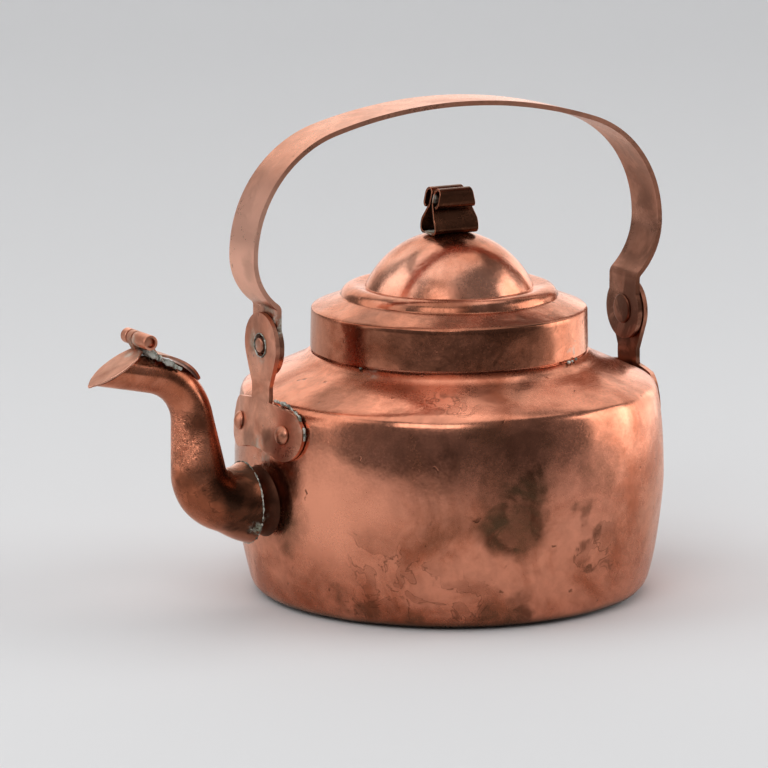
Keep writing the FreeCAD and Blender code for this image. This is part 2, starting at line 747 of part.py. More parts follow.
def spout_form(name, inset):
    """Loft through the stations, drawn in by an inset."""
    rings = []
    for index, (x, z, heading, radius) in enumerate(stations):
        ring = bind(doc.addObject("Part::Circle", f"{name}_ring{index}"), Radius=f"{radius} - {inset}")
        rings.append(place(ring, f"-{x}", "0", z, [(along_y, f"{heading} - 90")]))
    form = doc.addObject("Part::Loft", name)
    form.Sections = rings
    form.Solid = True
    form.Ruled = False
    return form


mouth_cut = block("mouth_cut", "2 * flap_tip", "4 * head_radius", "2 * flap_tip")
mouth_turns = [(along_z, "180"), (along_y, "flap_angle")]
mouth_x = "barrel_radius * cos(flap_angle) + mouth_drop * sin(flap_angle)"
mouth_z = "barrel_radius * sin(flap_angle) - mouth_drop * cos(flap_angle)"
place(mouth_cut, f"{mouth_x} - hinge_reach", "2 * head_radius", f"hinge_height + {mouth_z}", mouth_turns)
spout = cut("spout_open", spout_form("spout_outside", "0"), spout_form("spout_inside", "spout_gauge"), mouth_cut)
keep("spout_tube", spout)


def knuckle(name, radius, start, length):
    """Cylinder along the flap's hinge axis."""
    piece = drum(name, radius, length)
    return place(piece, "-hinge_reach", start, "hinge_height", [(along_x, "-90")])


# Fixed hinge leaf on the spout's back, with the near and far knuckles
leaf_line = outline("leaf_line", "XZ", [
    ("-leaf_end_x", "leaf_end_z"),
    ("arc", "leaf_curve", 1),
    ("-leaf_head_x", "leaf_head_z"),
    ("-leaf_foot_x", "leaf_foot_z"),
    ("-leaf_lip_x", "leaf_lip_z"),
], closed=False)
leaf_strip = extrude("leaf_strip", thicken("leaf_face", leaf_line, "-leaf_gauge"), Vector(0, 1, 0), "4 * leaf_half")
leaf_plan = extrude("leaf_plan", outline("leaf_plan_line", "XY", [
    ("-leaf_end_x", "-leaf_tip_half"),
    ("-leaf_end_x", "leaf_tip_half"),
    ("-leaf_waist_x", "leaf_half"),
    ("-hinge_reach", "leaf_half"),
    ("-hinge_reach", "-leaf_half"),
    ("-leaf_waist_x", "-leaf_half"),
]), Vector(0, 0, 1), "4 * hinge_height")
leaf = join(
    "leaf_rolled",
    common("leaf_tongue", leaf_strip, leaf_plan),
    knuckle("near_barrel", "barrel_radius", "barrel_start", "near_knuckle"),
    knuckle("far_barrel", "barrel_radius", "far_start", "far_knuckle"),
)
leaf_notch = knuckle(
    "leaf_notch", "flap_lower + flap_lift", "middle_start - knuckle_gap", "middle_knuckle + 2 * knuckle_gap"
)
leaf_bore = knuckle("leaf_bore", "bore_radius", "-barrel_length", "2 * barrel_length")
keep("flap_hinge_leaf", cut("leaf_open", leaf, leaf_notch, leaf_bore))

# Hinge pin, sunk at both ends of the barrel
keep("flap_hinge_pin", knuckle("pin", "pin_radius", "barrel_start + pin_recess", "pin_length"))

# Leaf-shaped flap over the mouth: plate, tab and the middle knuckle
flap_line = outline("flap_line", "XY", [
    ("flap_back", "-flap_back_half"),
    ("arc", "flap_side_round", 1),
    ("flap_tip_x", "-flap_tip_half"),
    ("arc", "flap_tip_round", 1),
    ("flap_tip", "0"),
    ("arc", "flap_tip_round", 1),
    ("flap_tip_x", "flap_tip_half"),
    ("arc", "flap_side_round", 1),
    ("flap_back", "flap_back_half"),
])
flap_plate = extrude("flap_plate", flap_line, Vector(0, 0, 1), "flap_gauge", both=False)
place(flap_plate, z="-flap_lower")
flap_tab = block("flap_tab", "barrel_radius", "middle_knuckle", "flap_lower")
place(flap_tab, "0", "-middle_start - middle_knuckle", "-flap_lower")
flap_barrel = drum("flap_barrel", "barrel_radius", "middle_knuckle")
place(flap_barrel, "0", "-middle_start - middle_knuckle", "0", [(along_x, "-90")])
flap_bore = drum("flap_bore", "bore_radius", "2 * barrel_length")
place(flap_bore, "0", "-barrel_length", "0", [(along_x, "-90")])
flap = cut("flap_bored", join("flap_joined", flap_plate, flap_tab, flap_barrel), flap_bore)
keep("spout_flap", place(flap, "-hinge_reach", "0", "hinge_height", mouth_turns))

# Brackets: sheet bent to the wall below and flat at the ear
bracket_half = [
    ("arch_y", "arch_z"),
    ("arc", "lobe_radius", 1),
    ("lobe_out", "lobe_height"),
    ("arc", "lobe_radius", 1),
    ("lobe_spread", "lobe_top"),
    ("neck_half", "crotch_height"),
    ("neck_half", "neck_height"),
    ("ear_y", "ear_z"),
    ("arc", "ear_radius", 1),
]
bracket_crown = [("0", "ear_top"), ("arc", "ear_radius", 1)]


def bracket(name, azimuth, way):
    """Bracket on one side of the pot: way is -1 towards the spout and 1 behind."""
    sign = "-" if way < 0 else ""
    bend = outline(f"{name}_bend", "XZ", [
        ("bracket_low_x", "bracket_low"),
        ("arc", "bracket_round", 1),
        ("bend_radius", "bracket_bend"),
        ("neck_radius_in", "neck_height"),
    ], closed=False)
    wrap = revolve(f"{name}_wrap", thicken(f"{name}_sheet", bend, "-bracket_gauge"))
    ear = block(f"{name}_ear", "bracket_gauge", "4 * ear_radius", "bracket_top - crotch_height")
    swing = "2 * ear_radius" if way < 0 else "-2 * ear_radius"
    place(ear, f"{sign}ear_face", swing, "crotch_height", [(along_z, azimuth)])
    steps = bracket_half + bracket_crown + mirrored(bracket_half[:-1]) + [("arc", "arch_round", -1)]
    blank = extrude(
        f"{name}_blank", outline(f"{name}_line", "YZ", steps), Vector(way, 0, 0), "handle_half", both=False
    )
    cut_out = common(f"{name}_cut", join(f"{name}_form", wrap, ear), blank)
    tilt = "-90" if way < 0 else "90"
    bore = place(drum(f"{name}_bore", "pivot_bore", "handle_half"), z="pivot_height", turns=[(along_y, tilt)])
    sink = bind(
        doc.addObject("Part::Cone", f"{name}_sink"),
        Radius1="pivot_bore", Radius2="pivot_sink", Height="pivot_sink_depth",
    )
    reach = f"{sign}(ear_face + bracket_gauge - pivot_sink_depth)"
    place(sink, reach, "0", "pivot_height", [(along_y, tilt)])
    drills = rivet_drills(name)
    return cut(f"{name}_drilled", cut_out, bore, sink, *drills)


keep("front_bracket", bracket("front", "180", -1))
keep("rear_bracket", bracket("rear", "0", 1))

# Domed rivets of the brackets
for node, azimuth in rivet_azimuths.items():
    rivet = turned_body(f"{node}_turned", [
        ("0", "-rivet_low"),
        ("rivet_tail_in", "-rivet_low"),
        ("rivet_tail", "-rivet_grip"),
        ("rivet_shank", "-rivet_grip"),
        ("rivet_shank", "rivet_seat"),
        ("rivet_head", "rivet_seat"),
        ("rivet_head", "rivet_rim"),
        ("arc", "rivet_dome", 1),
        ("0", "rivet_crown"),
    ])
    keep(node, rivet_place(rivet, azimuth))

# Bail: one strap bent from eye to eye
bail_line = outline("bail_line", "XZ", [
    ("-eye_x", "pivot_height"),
    ("-eye_x", "front_eye_z"),
    ("arc", "front_joggle", 1),
    ("-front_leave_x", "front_leave_z"),
    ("arc", "front_lower_bend", -1),
    ("-bail_half", "front_bend_height"),
    ("arc", "front_bend", -1),
    ("-front_top_x", "front_top_z"),
    ("arc", "top_bend", -1),
    ("rear_top_x", "rear_top_z"),
    ("arc", "rear_bend", -1),
    ("bail_half", "rear_bend_height"),
    ("arc", "rear_lower_bend", -1),
    ("rear_leave_x", "rear_leave_z"),
    ("arc", "rear_joggle", 1),
    ("eye_x", "rear_eye_z"),
    ("eye_x", "pivot_height"),
], closed=False)
strap_section = outline("strap_section", "XY", [
    ("-strap_half", "-strap_edge"),
    ("strap_half", "-strap_edge"),
    ("strap_half", "strap_edge"),
    ("-strap_half", "strap_edge"),
])
place(strap_section, "-eye_x", "0", "pivot_height")
doc.recompute()
strap_sweep = doc.addObject("Part::Sweep", "strap_sweep")
strap_sweep.Sections = [strap_section]
strap_sweep.Spine = (bail_line, [f"Edge{index + 1}" for index in range(len(bail_line.Shape.Edges))])
strap_sweep.Solid = True
strap_sweep.Frenet = False
front_eye = place(drum("front_eye", "eye_radius", "strap_gauge"), "-eye_x - strap_half", "0", "pivot_height",
                  [(along_y, "90")])
rear_eye = place(drum("rear_eye", "eye_radius", "strap_gauge"), "eye_inner", "0", "pivot_height",
                 [(along_y, "90")])
strap_bore = place(drum("strap_bore", "pivot_hole", "4 * handle_half"), "-2 * handle_half", "0", "pivot_height",
                   [(along_y, "90")])
keep("handle_strap", cut("strap_bored", join("strap_joined", strap_sweep, front_eye, rear_eye), strap_bore))

# Pivot rivets: flat head inside, shank through eye and ear, peened end in the countersink
for node, sign, tilt in (("front_pivot_rivet", "-", "-90"), ("rear_pivot_rivet", "", "90")):
    rivet = turned_body(f"{node}_turned", [
        ("0", "-pivot_head_rise"),
        ("pivot_head_in", "-pivot_head_rise"),
        ("arc", "pivot_round", 1),
        ("pivot_head", "-pivot_head_low"),
        ("pivot_head", "-joint_gap"),
        ("pivot_radius", "-joint_gap"),
        ("pivot_radius", "pivot_neck"),
        ("pivot_peen", "pivot_end"),
        ("0", "pivot_end"),
    ])
    keep(node, place(rivet, f"{sign}eye_inner", "0", "pivot_height", [(along_y, tilt)]))

# Every object has to be sound before anything is written
doc.recompute()
faults = [item.Name for item in doc.Objects if "Invalid" in item.State or "Error" in item.State]
for node in nodes:
    shape = node.Shape
    if shape.isNull() or not shape.isValid() or len(shape.Solids) != 1:
        faults.append(node.Label)
if faults:
    raise RuntimeError("not sound: " + ", ".join(faults))

os.makedirs("parts", exist_ok=True)
for node in nodes:
    node.Shape.exportStep(f"parts/{node.Label}.step")
    box = node.Shape.BoundBox
    print(f"{node.Label}: volume {node.Shape.Volume:.1f}, x {box.XMin:.2f} to {box.XMax:.2f},"
          f" y {box.YMin:.2f} to {box.YMax:.2f}, z {box.ZMin:.2f} to {box.ZMax:.2f}")
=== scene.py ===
import math

import bmesh
import bpy
from mathutils import Matrix, Vector, noise


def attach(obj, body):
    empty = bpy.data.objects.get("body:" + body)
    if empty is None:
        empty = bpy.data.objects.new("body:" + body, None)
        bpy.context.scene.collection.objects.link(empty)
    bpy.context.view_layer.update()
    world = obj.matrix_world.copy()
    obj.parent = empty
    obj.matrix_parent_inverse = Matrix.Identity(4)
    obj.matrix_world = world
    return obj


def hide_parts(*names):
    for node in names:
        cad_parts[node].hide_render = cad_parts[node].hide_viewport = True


# worn copper coffee pot: sizes below are in millimetres, the finished pieces in metres
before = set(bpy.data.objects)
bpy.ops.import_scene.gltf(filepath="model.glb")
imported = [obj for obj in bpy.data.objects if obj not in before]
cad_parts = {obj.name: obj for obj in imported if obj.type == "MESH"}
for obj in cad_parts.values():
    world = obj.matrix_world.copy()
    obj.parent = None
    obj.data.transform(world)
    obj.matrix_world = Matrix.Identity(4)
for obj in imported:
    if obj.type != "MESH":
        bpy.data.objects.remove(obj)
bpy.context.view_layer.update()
millimetre = 0.001
fullTurn = 2 * math.pi
noise.seed_set(7)
print("frame loaded,", len(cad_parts), "nodes")


# drawing helpers: a line of vertices, turned, swept or pushed out by bmesh operators
def drawLine(bm, steps, grain):
    # (x, z) goes straight, (x, z, radius) bends left, or right for a radius below 0, in pieces of about one grain
    point = bm.verts.new((steps[0][0], 0, steps[0][1]))
    for step in steps[1:]:
        start, end = point.co.copy(), Vector((step[0], 0, step[1]))
        chord = end - start
        if len(step) == 2:
            count = max(1, round(chord.length / grain))
            for index in range(count):
                point = bmesh.ops.extrude_vert_indiv(bm, verts=[point])["verts"][0]
                point.co = start.lerp(end, (index + 1) / count)
            continue
        radius = abs(step[2])
        left = 1 if step[2] > 0 else -1
        rise = math.sqrt(max(radius ** 2 - (chord.length / 2) ** 2, 0))
        centre = (start + end) / 2 + Vector((-chord.z, 0, chord.x)).normalized() * rise * left
        angle = 2 * math.asin(min(1, chord.length / (2 * radius)))
        count = max(2, round(radius * angle / grain))
        swung = bmesh.ops.spin(bm, geom=[point], cent=centre, axis=(0, -left, 0), angle=angle, steps=count)
        point = [item for item in swung["geom_last"] if isinstance(item, bmesh.types.BMVert)][0]
        point.co = end


def shiftBy(bm, way):
    bmesh.ops.translate(bm, verts=bm.verts[:], vec=way)


def turnBy(bm, degrees, axis):
    turned = Matrix.Rotation(math.radians(degrees), 3, axis)
    bmesh.ops.rotate(bm, verts=bm.verts[:], cent=(0, 0, 0), matrix=turned)


def cutAcross(bm, place, way, clear=False):
    everything = bm.verts[:] + bm.edges[:] + bm.faces[:]
    bmesh.ops.bisect_plane(bm, geom=everything, plane_co=place, plane_no=way, clear_outer=clear)


def joinPoints(bm, near=0.002):
    bmesh.ops.remove_doubles(bm, verts=bm.verts[:], dist=near)


def faceOut(bm):
    bmesh.ops.recalc_face_normals(bm, faces=bm.faces[:])


def turnRound(bm, count, centre=(0, 0, 0), axis=(0, 0, 1)):
    line = bm.verts[:] + bm.edges[:]
    bmesh.ops.spin(bm, geom=line, cent=centre, axis=axis, angle=fullTurn, steps=count, use_merge=True)
    joinPoints(bm)
    faceOut(bm)


def pushOut(bm, way, count):
    # extrude a drawn line to a sheet, in a few steps along a way
    line = bm.edges[:]
    for index in range(count):
        made = bmesh.ops.extrude_edge_only(bm, edges=line)["geom"]
        verts = [item for item in made if isinstance(item, bmesh.types.BMVert)]
        line = [item for item in made if isinstance(item, bmesh.types.BMEdge)]
        line = [edge for edge in line if all(vert in verts for vert in edge.verts)]
        bmesh.ops.translate(bm, verts=verts, vec=Vector(way) / count)


def dent(bm, depth, spacing, seed):
    # hand hammering: every point sinks a little, none rises
    bm.normal_update()
    shift = Vector((seed, seed * 0.7, seed * 1.3))
    moves = [vert.normal * depth * (0.5 + 0.5 * noise.noise(vert.co / spacing + shift)) for vert in bm.verts]
    for vert, move in zip(bm.verts, moves):
        vert.co -= move


def addPiece(name, bm, body, finishes, nodes=(), wall=0, wallSide=-1, edge=0, sharp=40, turned=None):
    bmesh.ops.transform(bm, matrix=Matrix.Scale(millimetre, 4) @ (turned or Matrix()), verts=bm.verts[:])
    mesh = bpy.data.meshes.new(name)
    bm.to_mesh(mesh)
    bm.free()
    mesh.shade_smooth()
    mesh.set_sharp_from_angle(angle=math.radians(sharp))
    for finish in finishes:
        mesh.materials.append(finish)
    piece = bpy.data.objects.new(name, mesh)
    bpy.context.scene.collection.objects.link(piece)
    if wall:
        sheet = piece.modifiers.new("sheet", "SOLIDIFY")
        sheet.thickness = wall * millimetre
        sheet.offset = wallSide
        sheet.use_even_offset = True
    if edge:
        rounded = piece.modifiers.new("edges", "BEVEL")
        rounded.width = edge * millimetre
        rounded.segments = 2
        rounded.profile = 0.5
        rounded.limit_method = "ANGLE"
        rounded.angle_limit = math.radians(sharp)
        rounded.harden_normals = True
        rounded.material = len(finishes) - 1 if len(finishes) > 1 else -1
    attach(piece, body)
    if nodes:
        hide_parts(*nodes)
    return piece


# node helpers for the finishes
def addNode(tree, kind, sockets=None, **values):
    made = tree.nodes.new(kind)
    for key, value in values.items():
        setattr(made, key, value)
    for socket, source in (sockets or {}).items():
        if isinstance(source, bpy.types.NodeSocket):
            tree.links.new(source, made.inputs[socket])
        else:
            made.inputs[socket].default_value = source
    return made


def calc(tree, operation, first, second=0.0, clamp=False):
    made = addNode(tree, "ShaderNodeMath", {0: first, 1: second}, operation=operation, use_clamp=clamp)
    return made.outputs[0]


def mixColour(tree, share, first, second, mode="MIX"):
    made = addNode(tree, "ShaderNodeMix", {0: share, 6: first, 7: second}, data_type="RGBA", blend_type=mode)
    return made.outputs[2]


def soften(tree, value, low, high, first=0.0, last=1.0):
    made = addNode(tree, "ShaderNodeMapRange", {0: value, 1: low, 2: high, 3: first, 4: last},
                   interpolation_type="SMOOTHSTEP")
    return made.outputs[0]


def cloud(tree, spot, scale, detail, rough, warp, shift):
    moved = addNode(tree, "ShaderNodeMapping", {"Vector": spot, "Location": shift})
    made = addNode(tree, "ShaderNodeTexNoise", {"Vector": moved.outputs[0], "Scale": scale, "Detail": detail,
                                                "Roughness": rough, "Distortion": warp})
    return made.outputs[0]


def nearSpot(tree, spot, place, reach, soft=0.5):
    # 1 at a place on the pot, 0 beyond its reach; place and reach in millimetres
    centre = tuple(value * millimetre for value in place)
    away = addNode(tree, "ShaderNodeVectorMath", {0: spot, 1: centre}, operation="DISTANCE").outputs["Value"]
    return soften(tree, away, reach * millimetre * soft, reach * millimetre, 1.0, 0.0)


# what all the copper finishes share; a look gives the rest, with its places and reaches in millimetres
copperBase = {"tint": (1.0, 0.9, 0.82, 1), "mottleScale": 190.0, "mottle": 0.15, "driftScale": 44.0, "drift": 0.036,
              "grainScale": 58.0, "crumbScale": 330.0, "scratchScale": 900.0, "blowDepth": 0.0012,
              "grainRelief": 0.10, "grainDepth": 0.0004, "pitRelief": 0.25, "pitDepth": -0.0004,
              "rippleDepth": 0.0005}


def copperFinish(name, look):
    material = bpy.data.materials.new(name)
    material.use_nodes = True
    tree = material.node_tree
    shader = tree.nodes["Principled BSDF"]
    spot = addNode(tree, "ShaderNodeTexCoord").outputs["Object"]
    look = dict(copperBase, **look)
    seed = look["seed"]
    shader.inputs["Specular Tint"].default_value = look["tint"]

    # bright copper wears through brown patina in clouds, with a finer mottle over both
    wear = cloud(tree, spot, look["wearScale"], 7.0, 0.62, 0.9, (seed, seed, seed))
    brown = soften(tree, wear, look["wearFrom"], look["wearTo"])
    mottle = cloud(tree, spot, look["mottleScale"], 3.0, 0.55, 0.4, (seed * 2, 0, seed))
    colour = mixColour(tree, brown, look["bright"], look["brown"])
    rosy = cloud(tree, spot, look["wearScale"] * 0.55, 4.0, 0.5, 0.4, (0, seed * 3, 1.7))
    colour = mixColour(tree, soften(tree, rosy, 0.5, 0.72, 0.0, 0.55), colour, look["rosy"])
    shade = soften(tree, mottle, 0.28, 0.72, 1.0 - look["mottle"], 1.0 + look["mottle"] * 0.4)
    shadeColour = addNode(tree, "ShaderNodeCombineColor", {0: shade, 1: shade, 2: shade}).outputs[0]
    colour = mixColour(tree, 1.0, colour, shadeColour, "MULTIPLY")

    # brighter copper at given places, partly rubbed and partly painted highlight, and dark patches, partly stains and
    # partly painted shadow and reflection, sit at their places, with ragged edges
    roughness = soften(tree, wear, 0.3, 0.7, look["roughLow"], look["roughHigh"])
    drift = addNode(tree, "ShaderNodeTexNoise", {"Vector": spot, "Scale": look["driftScale"], "Detail": 4.0,
                                                 "Roughness": 0.55}).outputs[1]
    drift = addNode(tree, "ShaderNodeVectorMath", {0: drift, 1: (0.5, 0.5, 0.5)}, operation="SUBTRACT").outputs[0]
    drift = addNode(tree, "ShaderNodeVectorMath", {0: drift, "Scale": look["drift"]}, operation="SCALE").outputs[0]
    raggedSpot = addNode(tree, "ShaderNodeVectorMath", {0: spot, 1: drift}, operation="ADD").outputs[0]
    for place, reach, amount in look.get("polishAndHighlights", ()):
        near = calc(tree, "MULTIPLY", nearSpot(tree, raggedSpot, place, reach, 0.2), amount, True)
        colour = mixColour(tree, near, colour, look["polishAndHighlightColour"])
    grain = soften(tree, cloud(tree, spot, look["grainScale"], 6.0, 0.6, 0.8, (seed, 2.1, 0)), 0.40, 0.58)
    # one dark colour for stains and for painted shadow
    stainAndShadow = mixColour(tree, soften(tree, wear, 0.42, 0.6), look["stainAndShadow"], look.get("olive", look["stainAndShadow"]))
    for place, reach, depth in look.get("stainsAndShadows", ()):
        near = nearSpot(tree, raggedSpot, place, reach, 0.4)
        near = calc(tree, "MULTIPLY", near, soften(tree, grain, 0.0, 1.0, 0.6, 1.0), True)
        colour = mixColour(tree, calc(tree, "MULTIPLY", near, depth, True), colour, stainAndShadow)

    # painted contact shadow: darker towards the heel, up to a given height
    if "heelShadow" in look:
        height = addNode(tree, "ShaderNodeSeparateXYZ", {0: spot}).outputs[2]
        low = soften(tree, height, 0.0, look["heelShadowTop"] * millimetre, look["heelShadow"], 0.0)
        colour = mixColour(tree, low, colour, stainAndShadow)

    # drying marks: thin dark outlines where a cloud crosses its middle value
    if "tide" in look:
        water = cloud(tree, spot, look["tideScale"], 3.0, 0.55, 1.2, (3.1, seed, 0.4))
        line = soften(tree, calc(tree, "ABSOLUTE", calc(tree, "SUBTRACT", water, 0.5)), 0.0, 0.02, 1.0, 0.0)
        patchy = 0.0
        for place, reach in look["tideAt"]:
            patchy = calc(tree, "MAXIMUM", patchy, nearSpot(tree, raggedSpot, place, reach, 0.5))
        line = calc(tree, "MAXIMUM", line, soften(tree, water, 0.5, 0.53, 0.0, 0.35))
        mark = calc(tree, "MULTIPLY", calc(tree, "MULTIPLY", line, patchy), look["tide"], True)
        colour = mixColour(tree, mark, colour, look["stainAndShadow"])

    # pits and flecks
    cells = addNode(tree, "ShaderNodeTexVoronoi", {"Vector": raggedSpot, "Scale": look["pitScale"]})
    picked = addNode(tree, "ShaderNodeSeparateColor", {0: cells.outputs["Color"]}).outputs[0]
    pit = calc(tree, "MULTIPLY", soften(tree, cells.outputs["Distance"], 0.05, 0.2, 1.0, 0.0),
               soften(tree, picked, 0.86, 0.9))
    colour = mixColour(tree, calc(tree, "MULTIPLY", pit, look["pits"], True), colour, look["stainAndShadow"])

    # pale green and grey crust where joints were soldered or stayed damp
    crust = None
    crumb = soften(tree, cloud(tree, spot, look["crumbScale"], 6.0, 0.75, 0.3, (0, 0, seed)), 0.4, 0.62)
    for place, reach, amount in look.get("crusts", ()):
        near = calc(tree, "MULTIPLY", nearSpot(tree, raggedSpot, place, reach, 0.3), crumb)
        near = calc(tree, "MULTIPLY", near, amount, True)
        crust = near if crust is None else calc(tree, "MAXIMUM", crust, near)
    if crust is not None:
        tone = mixColour(tree, soften(tree, mottle, 0.35, 0.6), look["crustGreen"], look["crustPale"])
        colour = mixColour(tree, crust, colour, tone)
        roughness = calc(tree, "ADD", roughness, calc(tree, "MULTIPLY", crust, 0.35), True)
        tree.links.new(soften(tree, crust, 0.0, 1.0, 1.0, 0.1), shader.inputs["Metallic"])
    else:
        shader.inputs["Metallic"].default_value = look.get("metal", 1.0)

    # fine rubbing scratches, hammer marks and grain in the surface
    scratch = cloud(tree, spot, look["scratchScale"], 3.0, 0.6, 0.0, (0, seed, 0))
    roughness = calc(tree, "ADD", roughness, soften(tree, scratch, 0.35, 0.7, -0.03, 0.04), True)
    tree.links.new(roughness, shader.inputs["Roughness"])
    tree.links.new(colour, shader.inputs["Base Color"])
    blows = addNode(tree, "ShaderNodeTexVoronoi", {"Vector": raggedSpot, "Scale": look["hammerScale"],
                                                   "Smoothness": 1.0}, feature="SMOOTH_F1").outputs["Distance"]
    relief = addNode(tree, "ShaderNodeBump", {"Strength": look["hammer"], "Distance": look["blowDepth"],
                                              "Height": blows})
    grainBump = addNode(tree, "ShaderNodeBump", {"Strength": look["grainRelief"], "Distance": look["grainDepth"],
                                                 "Height": mottle, "Normal": relief.outputs[0]})
    pitBump = addNode(tree, "ShaderNodeBump", {"Strength": look["pitRelief"], "Distance": look["pitDepth"],
                                               "Height": pit, "Normal": grainBump.outputs[0]})
    last = pitBump
    if "ripple" in look:
        wave = addNode(tree, "ShaderNodeTexWave", {"Vector": raggedSpot, "Scale": look["rippleScale"],
                                                   "Distortion": 1.5, "Detail": 2.0},
                       wave_type="BANDS", bands_direction="Z").outputs[1]
        side = nearSpot(tree, spot, look["rippleAt"], look["rippleReach"], 0.4)
        last = addNode(tree, "ShaderNodeBump", {"Strength": look["ripple"], "Distance": look["rippleDepth"],
                                                "Height": calc(tree, "MULTIPLY", wave, side),
                                                "Normal": pitBump.outputs[0]})
    tree.links.new(last.outputs[0], shader.inputs["Normal"])
    return material


crustTones = {"crustGreen": (0.24, 0.26, 0.19, 1), "crustPale": (0.50, 0.50, 0.43, 1)}

# the brighter places on the left of the belly, the shoulder and the right edge are partly rubbed copper and partly
# painted highlight; the dark patch round (-17, -85, 50) on the front of the belly is partly patina and partly a
# painted reflection of the dark room, the one at (-66, -26, 91) on the shoulder is a painted reflection of the
# bracket, and the one at (-85, -10, 44) beside the spout's root is a painted shadow of the spout
bodyLook = dict(crustTones, seed=0.4, bright=(0.66, 0.255, 0.155, 1), brown=(0.39, 0.112, 0.056, 1),
                rosy=(0.68, 0.275, 0.18, 1), stainAndShadow=(0.10, 0.034, 0.018, 1), olive=(0.10, 0.052, 0.028, 1),
                polishAndHighlightColour=(0.88, 0.35, 0.215, 1), wearScale=24.0, wearFrom=0.36, wearTo=0.66,
                roughLow=0.18, roughHigh=0.32, hammerScale=75.0, hammer=0.10, heelShadow=0.95, heelShadowTop=5.0,
                tide=0.6, tideScale=72.0, pits=0.7, pitScale=150.0,
                tideAt=[((-57, -60, 24), 26), ((-38, -62, 92), 14), ((-68, -46, 8), 14), ((20, -83, 30), 14),
                        ((-36, -76, 12), 16), ((60, 60, 40), 30)],
                polishAndHighlights=[((-78, -40, 44), 38, 1.0), ((-35, -61, 91), 24, 0.8), ((8, -68, 91), 22, 0.7),
                        ((76, -42, 50), 30, 0.5), ((62, -30, 92), 30, 0.9)],
                stainsAndShadows=[((-45, -72, 75), 19, 0.5), ((-28, -80, 72), 18, 0.6), ((-9, -86, 72), 17, 0.6),
                        ((-20, -84, 45), 20, 1.0), ((-13, -85, 57), 13, 0.85), ((-17, -85, 50), 15, 0.8),
                        ((9, -86, 45), 5, 0.6), ((14, -84, 35), 4.5, 0.6), ((18, -83, 26), 4, 0.6),
                        ((21, -82, 19), 4, 0.8), ((-14, -82, 10), 12, 0.8), ((-26, -79, 8), 9, 0.6),
                        ((-72, -36, 10), 9, 0.6), ((-66, -46, 7), 8, 0.7), ((-72, -47, 31), 4, 0.9),
                        ((-50, -66, 8), 6, 0.6), ((22, -84, 66), 22, 0.45), ((-46, -74, 47), 16, 0.35),
                        ((-66, -26, 91), 20, 0.45), ((-58, -62, 83), 10, 0.3), ((-85, -10, 44), 23, 0.85),
                        ((-78, 26, 60), 20, 0.5), ((30, 80, 50), 30, 0.8), ((-30, 82, 30), 22, 0.6),
                        ((84, 8, 30), 24, 0.6)],
                crusts=[((-86, 0, 62), 9, 0.5), ((-85, 12, 33), 8, 0.4), ((-54, -24, 97), 5, 0.5)])
# the brighter places on the right of the skirt and on the dome are painted highlights; the dark patch at (0, -6, 147)
# under the knob is a painted shadow and reflection of the knob, and the one at (-6, -55, 107) on the front of the
# skirt is a painted reflection of the dark room
lidLook = dict(crustTones, seed=1.9, bright=(0.55, 0.205, 0.12, 1), brown=(0.36, 0.104, 0.052, 1),
               rosy=(0.58, 0.235, 0.15, 1), stainAndShadow=(0.11, 0.038, 0.02, 1), polishAndHighlightColour=(0.86, 0.42, 0.29, 1),
               wearScale=30.0, wearFrom=0.38, wearTo=0.7, roughLow=0.20, roughHigh=0.31, hammerScale=95.0,
               hammer=0.12, tide=0.5, tideScale=60.0, pits=0.55, pitScale=190.0,
               tideAt=[((-30, -40, 118), 14), ((20, -50, 108), 14)],
               polishAndHighlights=[((46, -30, 108), 20, 0.9), ((-25, -12, 136), 24, 1.0), ((-4, -32, 130), 20, 0.6),
                       ((22, -24, 133), 16, 0.9)],
               stainsAndShadows=[((-6, -55, 107), 24, 0.8), ((-34, -44, 106), 20, 0.5), ((0, -6, 147), 12, 0.7),
                       ((-52, -20, 107), 14, 0.3), ((12, -40, 122), 9, 0.35), ((-20, 50, 106), 22, 0.6),
                       ((-42, -28, 117), 24, 0.5), ((-20, -36, 122), 14, 0.5)],
               crusts=[((28, -48, 100), 5, 0.8), ((24, -50, 99), 4, 0.6), ((-50, -24, 100), 4, 0.5)])
# the darkest patches round (-99, -11, 52) at the spout's root are painted shadow; the brighter place on the riser at
# (-123, -8, 76) is partly rubbed copper and partly painted highlight
spoutLook = dict(crustTones, seed=3.3, bright=(0.62, 0.23, 0.135, 1), brown=(0.41, 0.125, 0.062, 1),
                 rosy=(0.64, 0.255, 0.165, 1), stainAndShadow=(0.045, 0.018, 0.01, 1), polishAndHighlightColour=(0.74, 0.275, 0.16, 1),
                 wearScale=36.0, wearFrom=0.34, wearTo=0.6, roughLow=0.18, roughHigh=0.32, hammerScale=110.0,
                 hammer=0.06, tide=0.5, tideScale=70.0, pits=0.35, pitScale=200.0,
                 tideAt=[((-112, -12, 50), 16)], polishAndHighlights=[((-123, -8, 76), 18, 0.85)],
                 stainsAndShadows=[((-112, -10, 62), 13, 0.6), ((-106, -13, 52), 12, 0.75), ((-99, -11, 52), 22, 1.0),
                         ((-96, -14, 50), 14, 1.0), ((-118, -4, 84), 6, 0.6), ((-128, -5, 100), 8, 0.6),
                         ((-111, -8, 88), 10, 0.5), ((-100, -8, 33), 10, 0.5)],
                 crusts=[((-138, -5, 109), 7, 0.6), ((-132, -7, 105), 5, 0.4), ((-96, -14, 42), 4.5, 1.0),
                         ((-140, 5, 108), 6, 0.6)],
                 ripple=0.8, rippleScale=380.0, rippleAt=(-130, -2, 74), rippleReach=17)
